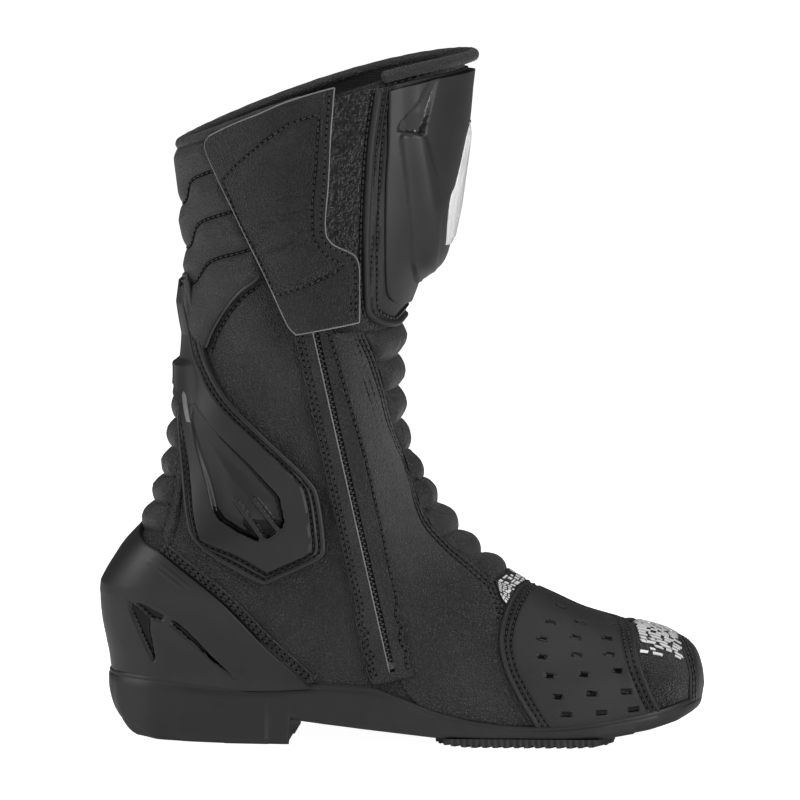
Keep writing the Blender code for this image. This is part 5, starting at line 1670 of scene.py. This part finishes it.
def build_tread(m, name, x_from, x_to, inset, top, node):
    """A block of tread whose sides are cut into slanting lugs and whose face is grooved."""
    xs = np.linspace(x_from, x_to, int((x_to - x_from) / 0.55))
    sides = np.linspace(-1, 1, 90)
    inner, outer = smooth_table(
        xs, PLAN_X, PLAN_INNER,
    ) - inset, smooth_table(xs, PLAN_X, PLAN_OUTER) - inset
    ends = np.sqrt(np.clip(np.minimum(xs - x_from, x_to - xs) / 7.0, 0.0, 1.0)) * 0.35 + 0.65
    inner, outer = inner * ends, outer * ends
    y = (outer - inner)[:, None] / 2 + sides[None] * (outer + inner)[:, None] / 2
    low = np.interp(
        xs, (x_from, x_from + 18, x_to - 18, x_to), (1.6, 0.0, 0.0, 1.0),
    ) if top > 3 else 0 * xs
    chevron = np.sin((xs[:, None] + 0.55 * np.abs(y)) * 2 * math.pi / 5.2)
    depth = 1.25 * step_up(chevron - 0.15, 0.35)
    z = low[:, None] + depth
    z[:, [0, -1]] = low[:, None] + depth[:, [1, -2]]
    face = np.stack([np.broadcast_to(xs[:, None], y.shape), y, z], -1)
    side_rows = []
    for k, sign in ((0, -1), (-1, 1)):
        wall = np.stack(
            [
                xs, y[:, k] + sign * (0.55 * np.sin(xs * 2 * math.pi / 3.1 + 1.2)),
                low + 0.5 * (top - low),
            ],
            -1,
        )
        rim = np.stack([xs, y[:, k] + sign * 0.3, np.full(len(xs), top)], -1)
        side_rows.append((wall, rim))
    full = np.concatenate(
        [
            side_rows[0][1][:, None], side_rows[0][0][:, None], face, side_rows[1][0][:, None],
            side_rows[1][1][:, None],
        ],
        1,
    )
    cap = full[:1].copy(), full[-1:].copy()
    for end in cap:
        end[..., 2] = top
    full = np.concatenate([cap[0], full, cap[1]])
    obj = new_object(
        name, full.reshape(-1, 3), [grid_quads(*full.shape[:2], flip=False)], m["rubber"], 35,
    )
    goes(obj, "foot", node, slot="rubber")


# --- Materials -----------------------------------------------------------------------------------


def shader(name, colour, roughness, metallic=0.0, specular=0.5, sheen=0.0, coat=0.0):
    made = bpy.data.materials.new(name)
    made.use_nodes = True
    nodes, links = made.node_tree.nodes, made.node_tree.links
    surface = nodes["Principled BSDF"]
    surface.inputs["Base Color"].default_value = (*colour, 1)
    surface.inputs["Roughness"].default_value = roughness
    surface.inputs["Metallic"].default_value = metallic
    surface.inputs["Specular IOR Level"].default_value = specular
    surface.inputs["Sheen Weight"].default_value = sheen
    surface.inputs["Sheen Roughness"].default_value = 0.4
    surface.inputs["Coat Weight"].default_value = coat
    surface.inputs["Coat Roughness"].default_value = 0.12
    coordinates = nodes.new("ShaderNodeTexCoord")
    return made, nodes, links, surface, coordinates.outputs["Object"]


def texture(nodes, links, kind, where, scale, **settings):
    node = nodes.new(kind)
    links.new(where, node.inputs["Vector"])
    node.inputs["Scale"].default_value = scale
    for key, value in settings.items():
        if key in node.inputs:
            node.inputs[key].default_value = value
        else:
            setattr(node, key, value)
    return node


def mapped(nodes, links, source, low, high, to_low, to_high):
    node = nodes.new("ShaderNodeMapRange")
    links.new(source, node.inputs["Value"])
    for key, value in zip(("From Min", "From Max", "To Min", "To Max"), (low, high, to_low, to_high)):
        node.inputs[key].default_value = value
    return node.outputs["Result"]


def mix_colour(nodes, links, source, dark, light, surface):
    node = nodes.new("ShaderNodeMix")
    node.data_type = "RGBA"
    links.new(source, node.inputs["Factor"])
    node.inputs["A"].default_value = (*dark, 1)
    node.inputs["B"].default_value = (*light, 1)
    links.new(node.outputs["Result"], surface.inputs["Base Color"])
    return node.outputs["Result"]


def bump(nodes, links, source, surface, strength, depth):
    node = nodes.new("ShaderNodeBump")
    node.inputs["Strength"].default_value = strength
    node.inputs["Distance"].default_value = depth
    links.new(source, node.inputs["Height"])
    links.new(node.outputs["Normal"], surface.inputs["Normal"])


def add(nodes, links, a, b, factor):
    node = nodes.new("ShaderNodeMath")
    node.operation = "MULTIPLY_ADD"
    links.new(b, node.inputs[0])
    node.inputs[1].default_value = factor
    links.new(a, node.inputs[2])
    return node.outputs["Value"]


PAINTED_HIGHLIGHT_Z = 62.0, 135.0  # heights over which the front quarter's leather is painted paler: a painted highlight


def leather(name, dark, light, roughness, grain, depth, sheen=0.15, painted_highlight=0.0):
    """Grained leather: pebbles with creases between them, pores, and cloudy colour and gloss. When a
    painted highlight is given, the colour is made paler between two heights.
    """
    made, nodes, links, surface, where = shader(name, dark, roughness, sheen=sheen, specular=0.45)
    warp = texture(nodes, links, "ShaderNodeTexNoise", where, grain * 0.35, Detail=2.0)
    shift = nodes.new("ShaderNodeVectorMath")
    shift.operation = "MULTIPLY_ADD"
    links.new(warp.outputs["Color"], shift.inputs[0])
    shift.inputs[1].default_value = (0.0012, 0.0012, 0.0012)
    links.new(where, shift.inputs[2])
    cells = texture(
        nodes, links, "ShaderNodeTexVoronoi", shift.outputs["Vector"], grain,
        feature="DISTANCE_TO_EDGE",
    )
    pebble = mapped(nodes, links, cells.outputs["Distance"], 0.0, 0.28, 0.0, 1.0)
    fine = texture(nodes, links, "ShaderNodeTexNoise", where, grain * 2.6, Detail=4.0)
    height = add(nodes, links, pebble, fine.outputs["Fac"], 0.55)
    bump(nodes, links, height, surface, 0.85, depth)
    cloud = texture(nodes, links, "ShaderNodeTexNoise", where, 34.0, Detail=4.0)
    tone = mapped(nodes, links, cloud.outputs["Fac"], 0.35, 0.7, 0.0, 0.6)
    colour = mix_colour(nodes, links, add(nodes, links, tone, pebble, 0.4), dark, light, surface)
    # Painted highlight: the base colour is made paler between two heights.
    if painted_highlight:
        split = nodes.new("ShaderNodeSeparateXYZ")
        links.new(where, split.inputs["Vector"])
        height = mapped(nodes, links, split.outputs["Z"], PAINTED_HIGHLIGHT_Z[0] * MM, PAINTED_HIGHLIGHT_Z[1] * MM, 0.0, 1.0)
        over = nodes.new("ShaderNodeMix")
        over.data_type, over.blend_type = "RGBA", "ADD"
        links.new(height, over.inputs["Factor"])
        links.new(colour, over.inputs["A"])
        over.inputs["B"].default_value = (painted_highlight, painted_highlight, painted_highlight * 1.03, 1)
        links.new(over.outputs["Result"], surface.inputs["Base Color"])
    gloss = mapped(nodes, links, cloud.outputs["Fac"], 0.3, 0.7, roughness + 0.06, roughness - 0.06)
    links.new(gloss, surface.inputs["Roughness"])
    return made


def moulded(name, colour, roughness, coat=0.0, grain=2600.0, depth=0.00003, specular=0.5):
    """Moulded plastic or rubber: a fine even texture with slight variation in colour and gloss."""
    made, nodes, links, surface, where = shader(name, colour, roughness, coat=coat, specular=specular)
    fine = texture(nodes, links, "ShaderNodeTexNoise", where, grain, Detail=3.0)
    bump(nodes, links, fine.outputs["Fac"], surface, 0.35, depth)
    cloud = texture(nodes, links, "ShaderNodeTexNoise", where, 60.0, Detail=5.0)
    lighter = tuple(c * 1.35 for c in colour)
    mix_colour(
        nodes, links, mapped(nodes, links, cloud.outputs["Fac"], 0.35, 0.7, 0.0, 1.0), colour, lighter,
        surface,
    )
    links.new(
        mapped(nodes, links, cloud.outputs["Fac"], 0.3, 0.7, roughness + 0.05, roughness - 0.05),
        surface.inputs["Roughness"],
    )
    return made


def woven(name, dark, light, roughness, scale, depth):
    """Textile: crossed threads broken up by noise."""
    made, nodes, links, surface, where = shader(name, dark, roughness, sheen=0.5, specular=0.2)
    warp = texture(nodes, links, "ShaderNodeTexWave", where, scale, bands_direction="Z", Distortion=1.5)
    weft = texture(nodes, links, "ShaderNodeTexWave", where, scale, bands_direction="X", Distortion=1.5)
    fuzz = texture(nodes, links, "ShaderNodeTexNoise", where, scale * 9, Detail=5.0)
    height = add(nodes, links, warp.outputs["Fac"], weft.outputs["Fac"], 1.0)
    height = add(nodes, links, height, fuzz.outputs["Fac"], 0.9)
    bump(nodes, links, height, surface, 0.7, depth)
    mix_colour(nodes, links, fuzz.outputs["Fac"], dark, light, surface)
    return made


def build_materials():
    black = (0.006, 0.006, 0.0064)
    grey = (0.028, 0.028, 0.029)
    return {
        "leather": leather("leather_grained", black, grey, 0.48, 700.0, 0.001),
        # Front quarter leather with a painted highlight: paler between two heights.
        "leather_painted_highlight": leather("leather_painted_highlight", black, grey, 0.46, 700.0, 0.001, painted_highlight=0.027),
        "leather_flap": leather(
            "leather_flap", (0.004, 0.004, 0.0043), (0.011, 0.011, 0.0115), 0.56, 700.0, 0.001,
        ),
        "leather_soft": leather("leather_soft", black, grey, 0.42, 760.0, 0.0003),
        "leather_smooth": leather(
            "leather_smooth", (0.010, 0.010, 0.0105), (0.017, 0.017, 0.0175), 0.46, 1900.0, 0.00006,
            0.05,
        ),
        "hard_shell": moulded("moulded_shell", (0.0105, 0.0105, 0.0112), 0.43),
        "gloss_trim": moulded("gloss_trim", (0.0025, 0.0025, 0.0027), 0.16, coat=0.4, depth=0.00001),
        "white_trim": moulded("white_trim", (0.66, 0.66, 0.66), 0.28, coat=0.4, depth=0.00001),
        "pale_edge": moulded("pale_edge", (0.13, 0.13, 0.13), 0.35, coat=0.3),
        "cut_edge": moulded("cut_edge", (0.16, 0.16, 0.16), 0.55),
        "rubber": moulded("sole_rubber", (0.0095, 0.0095, 0.0101), 0.5, grain=1400.0, depth=0.00006),
        "textile": woven(
            "knit_lining", (0.008, 0.008, 0.009), (0.022, 0.022, 0.023), 0.9, 260.0, 0.0003,
        ),
        "hook": woven(
            "hook_textile", (0.002, 0.002, 0.0022), (0.014, 0.014, 0.0145), 0.95, 900.0, 0.0004,
        ),
        "thread": woven("thread", (0.008, 0.008, 0.009), (0.03, 0.03, 0.031), 0.6, 1500.0, 0.0001),
        # Glossy near-black finish for recess walls, floors and slots; its darkness is painted shade.
        "recess": moulded("recess_painted_shade", (0.001, 0.001, 0.001), 0.22, specular=0.25, depth=0.00001),
        "seam_shadow": moulded("seam_shadow", (0.0025, 0.0025, 0.0025), 0.9, specular=0.1),
        "zip_plastic": moulded("zip_plastic", (0.04, 0.04, 0.042), 0.25),
        "zip_metal": moulded("zip_metal", (0.10, 0.10, 0.105), 0.3),
        "steel": moulded("steel_strip", (0.17, 0.17, 0.175), 0.35),
        "board": moulded("fibre_board", (0.33, 0.25, 0.16), 0.85, grain=800.0, depth=0.0001),
        "foam": moulded("foam", (0.06, 0.06, 0.062), 0.9, grain=1500.0, depth=0.0002),
    }


def dress_frame(m):
    """Finishes for the model's own solids that stay in view or inside."""
    wear = {
        "board": ("insole_board", "heel_counter", "toe_puff"),
        "foam": ("footbed",),
        "steel": ("shank", "zip_pin"),
        "zip_metal": ("zip_slider", "zip_puller", "zip_stop_top", "zip_stop_bottom"),
    }
    for finish, names in wear.items():
        for name in names:
            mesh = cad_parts[name].data
            mesh.materials.clear()
            mesh.materials.append(m[finish])


# --- Studio --------------------------------------------------------------------------------------


WORLD_LIGHT = 0.075
FLOOR_GLOW = 0.97
CAMERA_AZIMUTH, CAMERA_ELEVATION, CAMERA_DISTANCE = 4.0, 6.0, 6.0
FRAME_SIDE = 400.0  # the picture's side, in millimetres
FRAME_CENTRE = (105.0, 166.5)  # across and up from the origin, in the picture's plane


def area_light(name, place_at, aim, size, power, height=None):
    data = bpy.data.lights.new(name, "AREA")
    data.energy = power
    data.size = size
    if height:
        data.shape = "RECTANGLE"
        data.size_y = height
    lamp = bpy.data.objects.new(name, data)
    lamp.location = place_at
    lamp.rotation_euler = (Vector(aim) - Vector(place_at)).to_track_quat("-Z", "Y").to_euler()
    bpy.context.scene.collection.objects.link(lamp)


def build_studio():
    """A pale floor, a white background, and soft lights."""
    bpy.ops.mesh.primitive_plane_add(size=14, location=(0.1, 2.0, -0.0004))
    floor = bpy.context.object
    floor.name = "studio_floor"
    made, nodes, links, surface, where = shader("studio_white", (0.93, 0.93, 0.93), 0.9, specular=0.1)
    noise = texture(nodes, links, "ShaderNodeTexNoise", where, 3.0, Detail=2.0)
    mix_colour(nodes, links, noise.outputs["Fac"], (0.92, 0.92, 0.92), (0.95, 0.95, 0.95), surface)
    surface.inputs["Emission Color"].default_value = (1, 1, 1, 1)
    paths = nodes.new("ShaderNodeLightPath")
    glow = mapped(nodes, links, paths.outputs["Is Camera Ray"], 0.0, 1.0, 0.1, FLOOR_GLOW)
    links.new(glow, surface.inputs["Emission Strength"])
    floor.data.materials.append(made)
    world = bpy.data.worlds.new("studio")
    world.use_nodes = True
    nodes, links = world.node_tree.nodes, world.node_tree.links
    paths = nodes.new("ShaderNodeLightPath")
    strength = mapped(nodes, links, paths.outputs["Is Camera Ray"], 0.0, 1.0, WORLD_LIGHT, 1.0)
    nodes["Background"].inputs["Color"].default_value = (1, 1, 1, 1)
    links.new(strength, nodes["Background"].inputs["Strength"])
    bpy.context.scene.world = world
    area_light("left", (-1.5, -0.5, 0.9), (0.05, 0, 0.16), 0.9, 14, 1.4)
    area_light("right", (1.5, -1.2, 0.7), (0.1, 0, 0.16), 0.9, 20, 1.4)
    area_light("top", (0.1, -0.1, 1.7), (0.1, 0, 0.15), 1.3, 12)
    area_light("front", (0.9, -2.6, 1.6), (0.1, 0, 0.15), 1.4, 1)
    area_light("sheen", (0.95, -2.2, 0.15), (0.1, 0, 0.12), 0.35, 6, 0.5)
    scene = bpy.context.scene
    scene.view_settings.view_transform = "Standard"
    scene.view_settings.look = "None"


def build_camera():
    azimuth, elevation = math.radians(CAMERA_AZIMUTH), math.radians(CAMERA_ELEVATION)
    away = Vector(
        (
            math.sin(azimuth) * math.cos(elevation), -math.cos(azimuth) * math.cos(elevation),
            math.sin(elevation),
        )
    )
    right = Vector((math.cos(azimuth), math.sin(azimuth), 0))
    up = away.cross(right)
    data = bpy.data.cameras.new("camera")
    data.sensor_width = 36
    data.lens = 36 * CAMERA_DISTANCE / (FRAME_SIDE * MM)
    data.clip_end = 50
    camera = bpy.data.objects.new("camera", data)
    camera.location = (right * FRAME_CENTRE[0] + up * FRAME_CENTRE[1]) * MM + away * CAMERA_DISTANCE
    camera.rotation_euler = away.to_track_quat("Z", "Y").to_euler()
    bpy.context.scene.collection.objects.link(camera)
    bpy.context.scene.camera = camera


def main():
    m = build_materials()
    build_base(m)
    for part in (
        build_front_quarter, build_heel_strip, build_achilles_strip, build_calf_seam, build_guard,
    ):
        both(part, m)
    build_bellows(m)
    build_quilt(m)
    build_brace(m)
    build_heel_cup(m)
    build_vamp_guard(m)
    build_shin(m)
    build_flap(m)
    build_hook_field(m)
    build_zip(m)
    build_collar(m)
    build_toe(m)
    build_sole(m)
    build_thread(m)
    dress_frame(m)
    build_studio()
    build_camera()


main()
